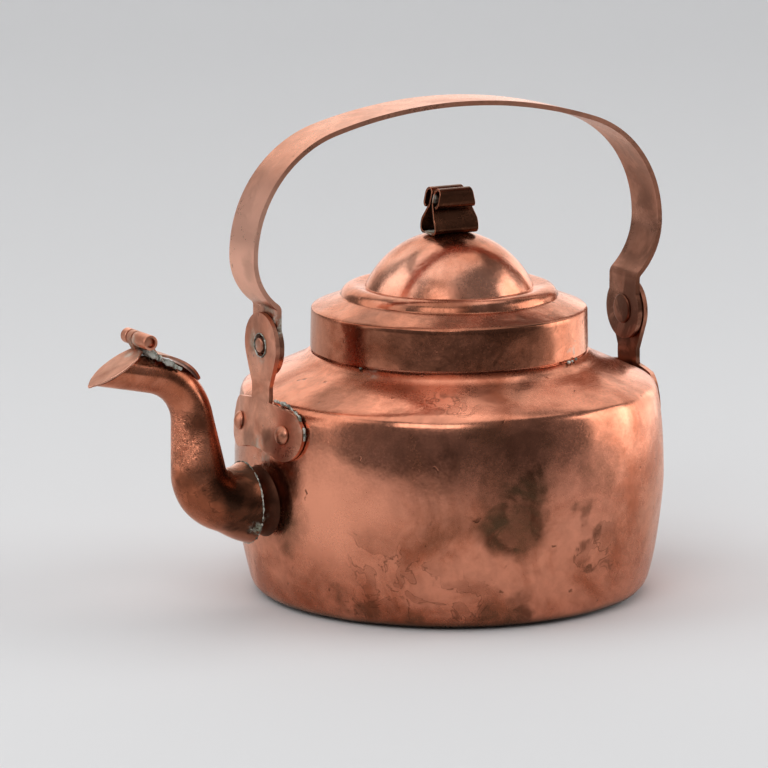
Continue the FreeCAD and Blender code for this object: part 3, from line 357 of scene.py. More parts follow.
darkLook = dict(crustTones, seed=5.2, bright=(0.74, 0.33, 0.215, 1), brown=(0.52, 0.20, 0.12, 1),
                rosy=(0.74, 0.36, 0.25, 1), stainAndShadow=(0.09, 0.034, 0.02, 1), wearScale=46.0, wearFrom=0.36,
                wearTo=0.66, roughLow=0.28, roughHigh=0.42, hammerScale=130.0, hammer=0.05, pits=0.5,
                pitScale=240.0, drift=0.018,
                stainsAndShadows=[((86, 0, 106), 22, 0.95), ((85, 0, 90), 18, 1.0), ((-88, -6, 71), 5, 0.5),
                        ((-87, -11, 66), 10, 0.6), ((-86, 8, 66), 9, 0.5), ((-87, 3, 111), 12, 0.4)],
                crusts=[((-85, -18, 85), 5, 0.7), ((-84, -27, 79), 4, 0.6), ((-86, 1, 107), 7, 0.8),
                        ((-87, 0, 66), 6, 0.6), ((-140, 0, 111), 9, 0.9), ((-130, 0, 108), 10, 0.6),
                        ((-120, 0, 102), 9, 0.5)])
flapLook = dict(crustTones, seed=7.1, bright=(0.54, 0.265, 0.18, 1), brown=(0.42, 0.185, 0.118, 1),
                rosy=(0.56, 0.29, 0.205, 1), stainAndShadow=(0.16, 0.07, 0.045, 1), wearScale=60.0, wearFrom=0.4,
                wearTo=0.7, roughLow=0.4, roughHigh=0.52, hammerScale=150.0, hammer=0.03, pits=0.3,
                pitScale=260.0, stainsAndShadows=[((-150, -2, 106), 5, 0.3)], crusts=[((-140, 0, 110), 6, 0.7)])
# the brighter place at (-94, 0, 150) on the left of the bail is partly rubbed copper and partly painted highlight
strapLook = dict(crustTones, seed=9.6, bright=(0.64, 0.295, 0.195, 1), brown=(0.50, 0.205, 0.128, 1),
                 rosy=(0.64, 0.315, 0.22, 1), stainAndShadow=(0.11, 0.038, 0.021, 1), polishAndHighlightColour=(0.92, 0.50, 0.37, 1),
                 wearScale=30.0, wearFrom=0.32, wearTo=0.75, roughLow=0.27, roughHigh=0.36,
                 hammerScale=120.0, hammer=0.05, pits=0.4, pitScale=230.0, drift=0.018,
                 polishAndHighlights=[((-94, 0, 150), 40, 0.9)],
                 stainsAndShadows=[((91, 0, 140), 26, 0.7), ((86, 0, 165), 22, 0.55), ((82, 0, 108), 26, 0.95),
                         ((-92, -4, 140), 8, 0.3), ((-84, -2, 112), 17, 1.0)],
                 crusts=[((-84, -9, 120), 6, 1.0), ((-83, -3, 124), 6, 0.9), ((-84, -10, 114), 4, 0.8)])
knobLook = dict(crustTones, seed=11.8, bright=(0.22, 0.08, 0.042, 1), brown=(0.075, 0.028, 0.015, 1),
                rosy=(0.2, 0.066, 0.034, 1), stainAndShadow=(0.03, 0.014, 0.009, 1), wearScale=70.0, wearFrom=0.34,
                wearTo=0.6, roughLow=0.2, roughHigh=0.34, hammerScale=160.0, hammer=0.03, pits=0.2,
                pitScale=300.0, mottle=0.1, drift=0.004,
                crusts=[((-9, 0, 150), 4.6, 2.5), ((-9, 0, 146), 4.8, 2.5), ((-4, 0, 146.5), 4.4, 2.5),
                        ((0, 0, 147), 4.2, 2.0), ((-8, -2.6, 160), 2.6, 1.6)])
rivetLook = dict(crustTones, seed=13.4, bright=(0.66, 0.29, 0.19, 1), brown=(0.44, 0.165, 0.095, 1),
                 rosy=(0.64, 0.31, 0.215, 1), stainAndShadow=(0.12, 0.052, 0.032, 1), wearScale=90.0, wearFrom=0.36,
                 wearTo=0.66, roughLow=0.26, roughHigh=0.4, hammerScale=220.0, hammer=0.06, pits=0.4,
                 pitScale=320.0)
# the socket's copper is near black: a painted shadow round the spout's root
socketShadowLook = dict(darkLook, seed=6.6, bright=(0.085, 0.031, 0.018, 1), brown=(0.04, 0.016, 0.01, 1),
                rosy=(0.07, 0.027, 0.017, 1), roughLow=0.42, roughHigh=0.55, stainsAndShadows=[],
                crusts=[((-50, -26, 98), 8, 0.8), ((30, -48, 98), 8, 0.7), ((-94, -14, 42), 5, 0.8),
                        ((-92, 0, 28), 6, 0.5)])
edgeLook = dict(crustTones, seed=15.0, bright=(0.80, 0.42, 0.30, 1), brown=(0.60, 0.28, 0.19, 1),
                rosy=(0.76, 0.42, 0.32, 1), stainAndShadow=(0.2, 0.09, 0.055, 1), wearScale=80.0, wearFrom=0.42,
                wearTo=0.75, roughLow=0.24, roughHigh=0.36, hammerScale=220.0, hammer=0.02, pits=0.2,
                pitScale=320.0)
knobEdgeLook = dict(edgeLook, seed=16.5, bright=(0.50, 0.18, 0.10, 1), brown=(0.26, 0.09, 0.05, 1),
                    rosy=(0.45, 0.17, 0.10, 1))
solderLook = dict(crustTones, seed=18.0, bright=(0.56, 0.56, 0.50, 1), brown=(0.10, 0.105, 0.085, 1),
                  rosy=(0.33, 0.37, 0.30, 1), stainAndShadow=(0.07, 0.065, 0.055, 1), metal=0.5, wearScale=230.0,
                  wearFrom=0.42, wearTo=0.56, roughLow=0.4, roughHigh=0.62, hammerScale=260.0, hammer=0.1,
                  pits=0.6, pitScale=420.0)

bodyCopper = copperFinish("bodyCopper", bodyLook)
lidCopper = copperFinish("lidCopper", lidLook)
spoutCopper = copperFinish("spoutCopper", spoutLook)
darkCopper = copperFinish("darkCopper", darkLook)
flapCopper = copperFinish("flapCopper", flapLook)
strapCopper = copperFinish("strapCopper", strapLook)
knobCopper = copperFinish("knobCopper", knobLook)
rivetCopper = copperFinish("rivetCopper", rivetLook)
edgeCopper = copperFinish("edgeCopper", edgeLook)
knobEdgeCopper = copperFinish("knobEdgeCopper", knobEdgeLook)
oldSolder = copperFinish("oldSolder", solderLook)
socketShadowCopper = copperFinish("socketShadowCopper", socketShadowLook)
print("finishes made")

# raised body: turned-in heel, belly, rounded edge, sloping shoulder and the rim of the filling hole
bodyShape = {"gauge": 1.2, "grain": 3.2, "turns": 256, "dents": 0.5, "dentSpacing": 17, "bruises": 0.4,
             "bruiseSpacing": 17 * 2.6, "belly": 87.1, "bellyRound": 175, "bellyHeight": 52,
             "line": [(64, 0), (72.434, 0), (81.127, 6.669, 9), (84.456, 82.306, 175), (81.565, 86.008, 5),
                      (61.6, 94.93), (56.4, 98.8, -12), (54.7, 98.9)]}
spoutHole = {"height": 44.9, "radius": 11.0, "beyond": -60}


def wallRadius(height):
    # outside of the belly at a height
    curve = bodyShape["bellyRound"]
    return bodyShape["belly"] - curve + math.sqrt(curve ** 2 - (height - bodyShape["bellyHeight"]) ** 2)


bm = bmesh.new()
drawLine(bm, bodyShape["line"], bodyShape["grain"])
turnRound(bm, bodyShape["turns"])
dent(bm, bodyShape["dents"], bodyShape["dentSpacing"], 2.0)
dent(bm, bodyShape["bruises"], bodyShape["bruiseSpacing"], 5.0)
holeCentre = Vector((0, spoutHole["height"]))
pierced = [face for face in bm.faces if face.calc_center_median().x < spoutHole["beyond"]
           and (Vector(face.calc_center_median().yz) - holeCentre).length < spoutHole["radius"]]
bmesh.ops.delete(bm, geom=pierced, context="FACES")
for vert in bm.verts:
    vert.co.z = max(vert.co.z, 0.0)
addPiece("bodyShell", bm, "pot", [bodyCopper], ["body_shell"], wall=bodyShape["gauge"], sharp=60)
print("body made")

# neck collar inside the lid
collarShape = {"grain": 4, "turns": 192,
               "line": [(53.6, 95), (54.55, 95), (54.55, 113.5), (53.6, 113.5), (53.6, 95)]}
bm = bmesh.new()
drawLine(bm, collarShape["line"], collarShape["grain"])
turnRound(bm, collarShape["turns"])
addPiece("neckCollar", bm, "pot", [bodyCopper], ["neck_collar"], edge=0.2, sharp=30)

# slip-over lid: skirt, fold, flat, bead and dome
lidShape = {"gauge": 0.9, "grain": 1.2, "turns": 224, "dents": 0.34, "dentSpacing": 10,
            "line": [(56.1, 99.3), (55.75, 115.0), (54.95, 116.24, 1.4), (44.3, 120.47), (43.9, 120.9),
                     (37.4, 125.0, 5.4), (34.0, 124.35), (5, 146.2, 37.63), (0, 146.2)]}
bm = bmesh.new()
drawLine(bm, lidShape["line"], lidShape["grain"])
turnRound(bm, lidShape["turns"])
dent(bm, lidShape["dents"], lidShape["dentSpacing"], 8.0)
addPiece("lidCap", bm, "lid", [lidCopper], ["lid_cap"], wall=lidShape["gauge"], edge=0.2, sharp=24)
print("lid made")

# rolled knob: one strip bent to a loop below and two scrolls above
knobShape = {"gauge": 0.95, "grain": 0.55, "columns": 14, "half": 10, "taperFrom": 5.6,
             "taper": math.tan(math.radians(12.62)), "foot": 146.2,
             "line": [(3.9, 0), (5.7, 1.8, 1.8), (4.579, 5.6, 7), (1.1, 11.4), (1.1, 15.4), (3.3, 17.6, -2.2),
                      (5.6, 15.3, -2.3), (5.6, 12.3), (3.8, 10.5, -1.8)]}


def mirrorLine(steps):
    # the same line walked from its far end on the other side
    turned = []
    bend = None
    for step in reversed(steps):
        corner = (-step[0], step[1])
        turned.append(corner if bend is None else corner + (bend,))
        bend = step[2] if len(step) > 2 else None
    return turned


knobSteps = mirrorLine(knobShape["line"]) + knobShape["line"]
bm = bmesh.new()
drawLine(bm, knobSteps, knobShape["grain"])
turnBy(bm, 90, "Z")
shiftBy(bm, (-knobShape["half"], 0, 0))
pushOut(bm, (2 * knobShape["half"], 0, 0), knobShape["columns"])
faceOut(bm)
for vert in bm.verts:
    reach = knobShape["half"] - max(vert.co.z - knobShape["taperFrom"], 0) * knobShape["taper"]
    vert.co.x *= reach / knobShape["half"]
shiftBy(bm, (0, 0, knobShape["foot"]))
addPiece("lidKnob", bm, "lid", [knobCopper, knobEdgeCopper], ["lid_knob"],
         wall=knobShape["gauge"], wallSide=0, edge=0.18, sharp=50)
print("knob made")


# turned rivets and pin, drawn upright from their own middle
rivetShape = {"grain": 0.5, "dentSpacing": 1.7}


def rivetPiece(name, steps, place, body, finish, node, turns=40, dents=0.05):
    bm = bmesh.new()
    drawLine(bm, steps, rivetShape["grain"])
    turnRound(bm, turns)
    dent(bm, dents, rivetShape["dentSpacing"], len(name) * 0.37 + place.translation.y * 0.11)
    addPiece(name, bm, body, [finish], [node], sharp=50, turned=place)


knobRivet = {"line": [(0, -2.23), (3.2, -2.23), (3.2, -0.93), (1.6, -0.93), (1.6, 0.98), (3.2, 0.98),
                      (0, 2.28, 4.588)]}
place = Matrix.Translation((0, 0, knobShape["foot"]))
rivetPiece("knobRivet", knobRivet["line"], place, "lid", knobCopper, "knob_rivet")

bracketRivet = {"radius": 87.716, "height": 74.251, "angle": 11.575, "tilt": 7.221,
                "line": [(0, -4.47), (2.1, -4.47), (3.2, -3.37), (2, -3.37), (2, 0.15), (3.8, 0.15), (3.8, 0.5),
                         (3.45, 1.0, 0.9), (0, 2.5, 5.2)]}
aside = bracketRivet["angle"]
rivetSides = {"frontBracketRivetLeft": (180 - aside, "front_bracket_rivet_left"),
              "frontBracketRivetRight": (180 + aside, "front_bracket_rivet_right"),
              "rearBracketRivetLeft": (-aside, "rear_bracket_rivet_left"),
              "rearBracketRivetRight": (aside, "rear_bracket_rivet_right")}
for name, (azimuth, node) in rivetSides.items():
    around = math.radians(azimuth)
    place = Matrix.Translation((bracketRivet["radius"] * math.cos(around), bracketRivet["radius"] * math.sin(around),
                                bracketRivet["height"]))
    place = place @ Matrix.Rotation(around, 4, "Z")
    place = place @ Matrix.Rotation(math.radians(90 - bracketRivet["tilt"]), 4, "Y")
    rivetPiece(name, bracketRivet["line"], place, "pot", rivetCopper, node)

pivotShape = {"inner": 81.85, "height": 107.5,
              "line": [(0, -0.75), (5.5, -0.7), (6.1, -0.3, 0.5), (6.1, -0.03), (3.0, -0.03), (3.0, 4.6),
                       (2.5, 5.1, 0.6), (0, 5.3)]}
for name, way, node in (("frontPivotRivet", -1, "front_pivot_rivet"), ("rearPivotRivet", 1, "rear_pivot_rivet")):
    place = Matrix.Translation((way * pivotShape["inner"], 0, pivotShape["height"]))
    place = place @ Matrix.Rotation(math.radians(90 * way), 4, "Y")
    rivetPiece(name, pivotShape["line"], place, "handle", darkCopper, node, 48)
print("rivets made")

# gooseneck spout: rings along run, elbow, riser, neck bend and head
spoutShape = {"start": 93.4, "height": 44.9, "rise": 12, "run": 9.7, "elbow": 14, "lean": 83, "riser": 22.8,
              "neck": 21.5, "headRise": 12, "head": 27, "radii": (16.5, 12.9, 11.2, 8.5, 7.3), "gauge": 1.1,
              "segments": 56, "spacing": 1.2, "easing": 3, "dents": 0.2, "dentSpacing": 8}
hingeShape = {"reach": 140, "height": 115, "angle": 30.8, "barrel": 3.0, "bore": 1.95, "mouth": 4.65,
              "grain": 0.5, "rounding": 0.35, "turns": 36,
              "leafRolls": ((-11.3, 11.2), (5.15, 4.25)), "flapRoll": (0.75, 3.6)}


def spoutStations(shape):
    # (x, z, heading, radius) at every spacing along the spout
    stations = []
    rise, lean, headRise = (math.radians(shape[key]) for key in ("rise", "lean", "headRise"))
    base, elbowIn, elbowOut, riser, head = shape["radii"]

    def share(length):
        count = max(2, round(length / shape["spacing"]))
        return [index / count for index in range(count)]

    x, z = shape["start"], shape["height"]
    for part in share(shape["run"]):
        stations.append((x + shape["run"] * math.cos(rise) * part, z + shape["run"] * math.sin(rise) * part * part,
                         rise * part, base + (elbowIn - base) * part))
    x += shape["run"] * math.cos(rise)
    z += shape["run"] * math.sin(rise)
    for part in share(shape["elbow"] * (lean - rise)):
        heading = rise + (lean - rise) * part
        stations.append((x + shape["elbow"] * (math.sin(heading) - math.sin(rise)),
                         z + shape["elbow"] * (math.cos(rise) - math.cos(heading)), heading,
                         elbowIn + (elbowOut - elbowIn) * part))
    x += shape["elbow"] * (math.sin(lean) - math.sin(rise))
    z += shape["elbow"] * (math.cos(rise) - math.cos(lean))
    for part in share(shape["riser"]):
        stations.append((x + shape["riser"] * math.cos(lean) * part, z + shape["riser"] * math.sin(lean) * part,
                         lean, elbowOut + (riser - elbowOut) * part))
    x += shape["riser"] * math.cos(lean) + shape["neck"] * math.sin(lean)
    z += shape["riser"] * math.sin(lean) - shape["neck"] * math.cos(lean)
    for part in share(shape["neck"] * (lean - headRise)):
        heading = lean + (headRise - lean) * part
        stations.append((x - shape["neck"] * math.sin(heading), z + shape["neck"] * math.cos(heading), heading,
                         riser + (head - riser) * part))
    x -= shape["neck"] * math.sin(headRise)
    z += shape["neck"] * math.cos(headRise)
    for part in share(shape["head"]) + [1.0]:
        stations.append((x + shape["head"] * math.cos(headRise) * part, z + shape["head"] * math.sin(headRise) * part,
                         headRise, head))
    return stations


flapTurn = math.radians(hingeShape["angle"])
flapAlong = Vector((-math.cos(flapTurn), 0, -math.sin(flapTurn)))
flapUp = Vector((-math.sin(flapTurn), 0, math.cos(flapTurn)))
hingeMiddle = Vector((-hingeShape["reach"], 0, hingeShape["height"]))

bm = bmesh.new()
lastRing = None
for x, z, heading, radius in spoutStations(spoutShape):
    place = Matrix.Translation((-x, 0, z)) @ Matrix.Rotation(heading - math.radians(90), 4, "Y")
    made = bmesh.ops.create_circle(bm, cap_ends=False, segments=spoutShape["segments"], radius=radius, matrix=place)
    ring = list({edge for vert in made["verts"] for edge in vert.link_edges})
    if lastRing:
        bmesh.ops.bridge_loops(bm, edges=lastRing + ring)
    lastRing = ring
faceOut(bm)
for index in range(spoutShape["easing"]):
    bmesh.ops.smooth_vert(bm, verts=[vert for vert in bm.verts if not vert.is_boundary], factor=0.5,
                          use_axis_x=True, use_axis_y=True, use_axis_z=True)
dent(bm, spoutShape["dents"], spoutShape["dentSpacing"], 3.0)
cutAcross(bm, hingeMiddle - flapUp * hingeShape["mouth"], flapUp, clear=True)
addPiece("spoutTube", bm, "pot", [spoutCopper, edgeCopper], ["spout_tube"],
         wall=spoutShape["gauge"], edge=0.25, sharp=50)

# flared socket between the wall and the spout, in near-black copper as a painted shadow round the spout's root
socketShape = {"gauge": 1.1, "grain": 0.8, "turns": 96, "dents": 0.12, "dentSpacing": 6,
               "line": [(82.6, 18.4), (93.4, 14.77, 7), (96.4, 12.842)]}
bm = bmesh.new()
drawLine(bm, socketShape["line"], socketShape["grain"])
turnBy(bm, 180, "Z")
shiftBy(bm, (0, 0, spoutShape["height"]))
turnRound(bm, socketShape["turns"], (0, 0, spoutShape["height"]), (1, 0, 0))
dent(bm, socketShape["dents"], socketShape["dentSpacing"], 6.0)
addPiece("spoutCollar", bm, "pot", [socketShadowCopper], ["spout_collar"], wall=socketShape["gauge"],
         sharp=60)
print("spout made")


# hinge of the flap: rolled knuckles on one pin
def alongPin(start):
    return Matrix.Translation(hingeMiddle + Vector((0, start, 0))) @ Matrix.Rotation(math.radians(-90), 4, "X")


def knuckle(bm, start, length):
    inner, outer, rounding = (hingeShape[key] for key in ("bore", "barrel", "rounding"))
    line = [(inner, 0), (outer - rounding, 0), (outer, rounding, rounding), (outer, length - rounding),
            (outer - rounding, length, rounding), (inner, length), (inner, 0)]
    roll = bmesh.new()
    drawLine(roll, line, hingeShape["grain"])
    turnRound(roll, hingeShape["turns"])
    bmesh.ops.transform(roll, matrix=alongPin(start), verts=roll.verts[:])
    mesh = bpy.data.meshes.new("roll")
    roll.to_mesh(mesh)
    roll.free()
    bm.from_mesh(mesh)
    bpy.data.meshes.remove(mesh)


leafShape = {"gauge": 1.0, "grain": 0.9, "columns": 6, "half": 6.5, "tipHalf": 1.2, "swell": 0.8,
             "waist": -123.085, "end": -114.085,
             "line": [(-114.085, 96.284), (-131.847, 107.819, 29.55), (-135.173, 108.526), (-137.9, 112.9)]}
bm = bmesh.new()
drawLine(bm, leafShape["line"], leafShape["grain"])
shiftBy(bm, (0, -1, 0))
pushOut(bm, (0, 2, 0), leafShape["columns"])
for vert in bm.verts:
    part = min(max((leafShape["end"] - vert.co.x) / (leafShape["end"] - leafShape["waist"]), 0), 1)
    part = math.sin(part * math.pi / 2) ** leafShape["swell"]
    vert.co.y *= leafShape["tipHalf"] + (leafShape["half"] - leafShape["tipHalf"]) * part
faceOut(bm)
tops = [face for face in bm.faces if face.normal.z > 0]
if len(tops) < len(bm.faces) / 2:
    bmesh.ops.reverse_faces(bm, faces=bm.faces[:])
bmesh.ops.solidify(bm, geom=bm.faces[:], thickness=-leafShape["gauge"])
faceOut(bm)
for start, length in hingeShape["leafRolls"]:
    knuckle(bm, start, length)
addPiece("flapHingeLeaf", bm, "pot", [darkCopper], ["flap_hinge_leaf"], sharp=40)

pinShape = {"start": -9.7, "turns": 28, "dents": 0.02,
            "line": [(0, 0), (1.5, 0), (1.9, 0.3, 0.4), (1.9, 17.2), (1.5, 17.5, 0.4), (0, 17.5)]}
rivetPiece("flapHingePin", pinShape["line"], alongPin(pinShape["start"]), "pot", darkCopper,
           "flap_hinge_pin", pinShape["turns"], pinShape["dents"])

flapShape = {"gauge": 1.0, "lower": 4.35, "grain": 0.7, "cuts": 2, "wave": 0.10, "waveSpacing": 7, "room": 0.1,
             "rim": 0.28, "tabSize": (2.2, 3.9, 3.2, 1), "tabAt": (1.9, -2.55, -2.4), "tabRim": 0.3,
             "line": [(2.4, -4.4), (26.3, -1.7, 16.6), (27.6, 0, 2.2), (26.3, 1.7, 2.2), (2.4, 4.4, 16.6),
                      (2.4, -4.4)]}
bm = bmesh.new()
drawLine(bm, flapShape["line"], flapShape["grain"])
joinPoints(bm)
turnBy(bm, -90, "X")
bmesh.ops.contextual_create(bm, geom=bm.edges[:])
for index in range(1, 14):
    cutAcross(bm, (flapShape["cuts"] * index, 0, 0), (1, 0, 0))
for index in range(-3, 4):
    cutAcross(bm, (0, flapShape["cuts"] * index, 0), (0, 1, 0))
for vert in bm.verts:
    vert.co.z = flapShape["wave"] * noise.noise(vert.co / flapShape["waveSpacing"])
pushed = bmesh.ops.extrude_face_region(bm, geom=bm.faces[:])["geom"]
bmesh.ops.translate(bm, verts=[item for item in pushed if isinstance(item, bmesh.types.BMVert)],
                    vec=(0, 0, flapShape["gauge"] - 2 * flapShape["room"]))
faceOut(bm)
rims = [edge for edge in bm.edges if len(edge.link_faces) == 2 and edge.calc_face_angle() > math.radians(50)]
bmesh.ops.bevel(bm, geom=rims, offset=flapShape["rim"], offset_type="OFFSET", affect="EDGES", segments=3,
                profile=0.5, material=1)
shiftBy(bm, (0, 0, -flapShape["lower"] + flapShape["room"]))
flapFrame = Matrix((flapAlong, Vector((0, -1, 0)), flapUp)).transposed().to_4x4()
bmesh.ops.transform(bm, matrix=Matrix.Translation(hingeMiddle) @ flapFrame, verts=bm.verts[:])
tab = bmesh.ops.create_cube(bm, size=1)["verts"]
tabPlace = Matrix.Translation(hingeMiddle) @ flapFrame @ Matrix.Translation(flapShape["tabAt"])
bmesh.ops.transform(bm, matrix=tabPlace @ Matrix.Diagonal(flapShape["tabSize"]), verts=tab)
tabEdges = list({edge for vert in tab for edge in vert.link_edges})
bmesh.ops.bevel(bm, geom=tabEdges, offset=flapShape["tabRim"], offset_type="OFFSET", affect="EDGES", segments=2,
                profile=0.5, material=-1)
knuckle(bm, *hingeShape["flapRoll"])
addPiece("spoutFlap", bm, "flap", [flapCopper, edgeCopper], ["spout_flap"], sharp=40)
print("hinge and flap made")

# brackets: sheet bent to the wall below, flat at the ear
bracketShape = {"gauge": 2.0, "grain": 0.9, "ear": 84.2, "crotch": 85.6, "flatten": 6, "hole": 4.7,
                "pivot": 107.5, "edge": 0.35, "offWall": 0.02, "bend": 77.853, "bendRadius": 85.2,
                "neck": 91.5, "neckRadius": 84.5, "cuts": 3, "room": 0.01, "thinner": 0.16, "wave": 0.12,
                "waveSpacing": 8, "arch": -46,
                "half": [(14.111, 64.415), (27.8, 74, 10.2), (17.6, 84.2, 10.2), (7.1, 85.6), (7.1, 91.5),
                         (11.873, 102.206), (0, 120.5, 13)]}


def bracketInside(y, z):
    # distance of the plate's inner face from the pot's axis
    bend, bendRadius = bracketShape["bend"], bracketShape["bendRadius"]
    if z < bend:
        radius = wallRadius(z) + bracketShape["offWall"]
    else:
        part = min((z - bend) / (bracketShape["neck"] - bend), 1)
        radius = bendRadius + (bracketShape["neckRadius"] - bendRadius) * part
    wrapped = math.sqrt(radius ** 2 - y ** 2)
    flatten = bracketShape["flatten"]
    part = min(max((z - bracketShape["crotch"] + flatten / 2) / flatten, 0), 1)
    part = part * part * (3 - 2 * part)
    return wrapped + (bracketShape["ear"] - wrapped) * part


bracketHalf = bracketShape["half"]
bracketLine = bracketHalf + mirrorLine(bracketHalf)[1:] + [bracketHalf[0] + (bracketShape["arch"],)]
for name, way, node in (("frontBracket", -1, "front_bracket"), ("rearBracket", 1, "rear_bracket")):
    bm = bmesh.new()
    drawLine(bm, bracketLine, bracketShape["grain"])
    joinPoints(bm)
    holePlace = Matrix.Translation((0, 0, bracketShape["pivot"])) @ Matrix.Rotation(math.radians(90), 4, "X")
    bmesh.ops.create_circle(bm, cap_ends=False, segments=40, radius=bracketShape["hole"], matrix=holePlace)
    bmesh.ops.triangle_fill(bm, use_beauty=True, use_dissolve=False, edges=bm.edges[:], normal=(0, -1, 0))
    for height in range(64, 121, bracketShape["cuts"]):
        cutAcross(bm, (0, 0, height), (0, 0, 1))
    for across in range(-27, 28, bracketShape["cuts"]):
        cutAcross(bm, (across, 0, 0), (1, 0, 0))
    joinPoints(bm, 0.05)
    turnBy(bm, 90 * way, "Z")
    for vert in bm.verts:
        vert.co.x = way * (bracketInside(vert.co.y, vert.co.z) + bracketShape["room"])
    pushed = bmesh.ops.extrude_face_region(bm, geom=bm.faces[:])["geom"]
    for vert in pushed:
        if isinstance(vert, bmesh.types.BMVert):
            out = Vector((vert.co.x, vert.co.y * (1 if vert.co.z < bracketShape["crotch"] else 0), 0)).normalized()
            wave = bracketShape["wave"] * noise.noise(vert.co / bracketShape["waveSpacing"])
            vert.co += out * (bracketShape["gauge"] - bracketShape["thinner"] - wave)
    faceOut(bm)
    addPiece(name, bm, "pot", [darkCopper], [node], edge=bracketShape["edge"], sharp=50)
print("brackets made")


# old solder: rows of lumps run together
def solderPiece(name, lumps, grain=0.3):
    bm = bmesh.new()
    for x, y, z, radius in lumps:
        place = Matrix.Translation((x, y, z))
        bmesh.ops.create_icosphere(bm, subdivisions=2, radius=radius, matrix=place)
    piece = addPiece(name, bm, "pot", [oldSolder], sharp=180)
    merged = piece.modifiers.new("runTogether", "REMESH")
    merged.mode = "VOXEL"
    merged.voxel_size = grain * millimetre
    merged.use_smooth_shade = True
    eased = piece.modifiers.new("eased", "SMOOTH")
    eased.factor = 0.5
    eased.iterations = 1


def lumpRow(places, size, spread, seed, spacing=0.9):
    # lumps between the given places, each a little larger, smaller or aside
    lumps = []
    for first, last in zip(places, places[1:]):
        first, last = Vector(first), Vector(last)
        count = max(1, round((last - first).length / spacing))
        for index in range(count):
            middle = first.lerp(last, index / count)
            chance = noise.noise_vector(middle * 0.83 + Vector((seed, seed, seed)))
            middle = middle + chance * spread
            lumps.append((middle.x, middle.y, middle.z, size * (0.8 + 0.75 * chance.x)))
    return lumps


def onWall(azimuth, height, out=0.0):
    around = math.radians(azimuth)
    radius = wallRadius(height) + out
    return (radius * math.cos(around), radius * math.sin(around), height)


def ringPlaces(centre, radius, count=28):
    # places on a ring round a line along x, the first one again at the end
    upright = Matrix.Rotation(math.radians(90), 3, "Y")
    angles = [fullTurn * index / count for index in range(count + 1)]
    return [Vector(centre) + upright @ Vector((radius * math.cos(angle), radius * math.sin(angle), 0))
            for angle in angles]


hingeSolder = lumpRow([(-137.0, -7.8, 109.7), (-137.2, 7.8, 109.7)], 1.9, 0.6, 1.0)
hingeSolder += lumpRow([(-134.6, -7.2, 108.0), (-134.8, 7.2, 108.0)], 1.2, 0.6, 2.0)
hingeSolder += lumpRow([(-138.2, -7.6, 109.4), (-130, -7.2, 105.4), (-124, -6.6, 102.4)], 1.15, 0.6, 3.0)
hingeSolder += lumpRow([(-138.4, -9.4, 111.5), (-138.2, -5.0, 111.2)], 1.2, 0.5, 5.0)
solderPiece("hingeSolder", hingeSolder)
lobeSolder = lumpRow([onWall(185.5, 86.2, 0.6), onWall(192, 85.6, 0.9), onWall(196.4, 82.5, 0.9),
                      onWall(199, 77, 0.8), onWall(199, 73, 0.6)], 0.75, 0.3, 4.0, 0.8)
solderPiece("lobeSolder", lobeSolder, grain=0.25)
solderPiece("spoutSeam", lumpRow(ringPlaces((-93.5, 0, 44.9), 16.3), 0.42, 0.12, 6.0, 0.5), grain=0.2)
solderPiece("pivotRing", lumpRow(ringPlaces((-86.15, 0, 107.5), 4.75), 0.4, 0.1, 7.0, 0.4), grain=0.16)
skirtDots = [(-52.4, -20.9, 98.4, 0.7), (25.6, -50.6, 98.6, 0.8), (27.8, -49.6, 98.7, 0.6),
             (30.6, -47.8, 99.0, 0.7)]
solderPiece("skirtDots", skirtDots, 0.2)
print("solder made")

# bail: a strap bent from eye to eye
strapShape = {"gauge": 2.1, "grain": 0.8, "half": 10.2, "eye": 12.4, "pivot": 107.5, "eyeTop": 7, "columns": 10,
              "edge": 0.4, "dents": 0.12, "dentSpacing": 16, "thinner": 0.14,
              "line": [(-82.9, 95.1), (-82.9, 122.214), (-83.917, 124.226, 2.5), (-93.35, 142.9, -23.2),
                       (-56.947, 191.167, -50.2), (61.715, 188.842, -202.105), (93.35, 145.143, -46),
                       (83.85, 123.239, -30), (82.9, 121.049, 3), (82.9, 95.1)]}
bm = bmesh.new()
drawLine(bm, strapShape["line"], strapShape["grain"])
shiftBy(bm, (0, -1, 0))
pushOut(bm, (0, 2, 0), strapShape["columns"])
for vert in bm.verts:
    half = strapShape["half"]
    below = strapShape["pivot"] + strapShape["eyeTop"] - vert.co.z
    if below > 0:
        inEye = max(strapShape["eye"] ** 2 - (vert.co.z - strapShape["pivot"]) ** 2, 0.04)
        half = math.sqrt(inEye) if below > strapShape["eyeTop"] else max(half, math.sqrt(inEye))
    vert.co.y *= half
faceOut(bm)
dent(bm, strapShape["dents"], strapShape["dentSpacing"], 4.0)
addPiece("handleStrap", bm, "handle", [strapCopper, edgeCopper], ["handle_strap"],
         wall=strapShape["gauge"] - strapShape["thinner"], wallSide=0, edge=strapShape["edge"], sharp=50)
print("bail made")

# the bottom plate stays as the part has it, in the body's copper
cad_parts["base_plate"].data.materials.clear()
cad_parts["base_plate"].data.materials.append(bodyCopper)

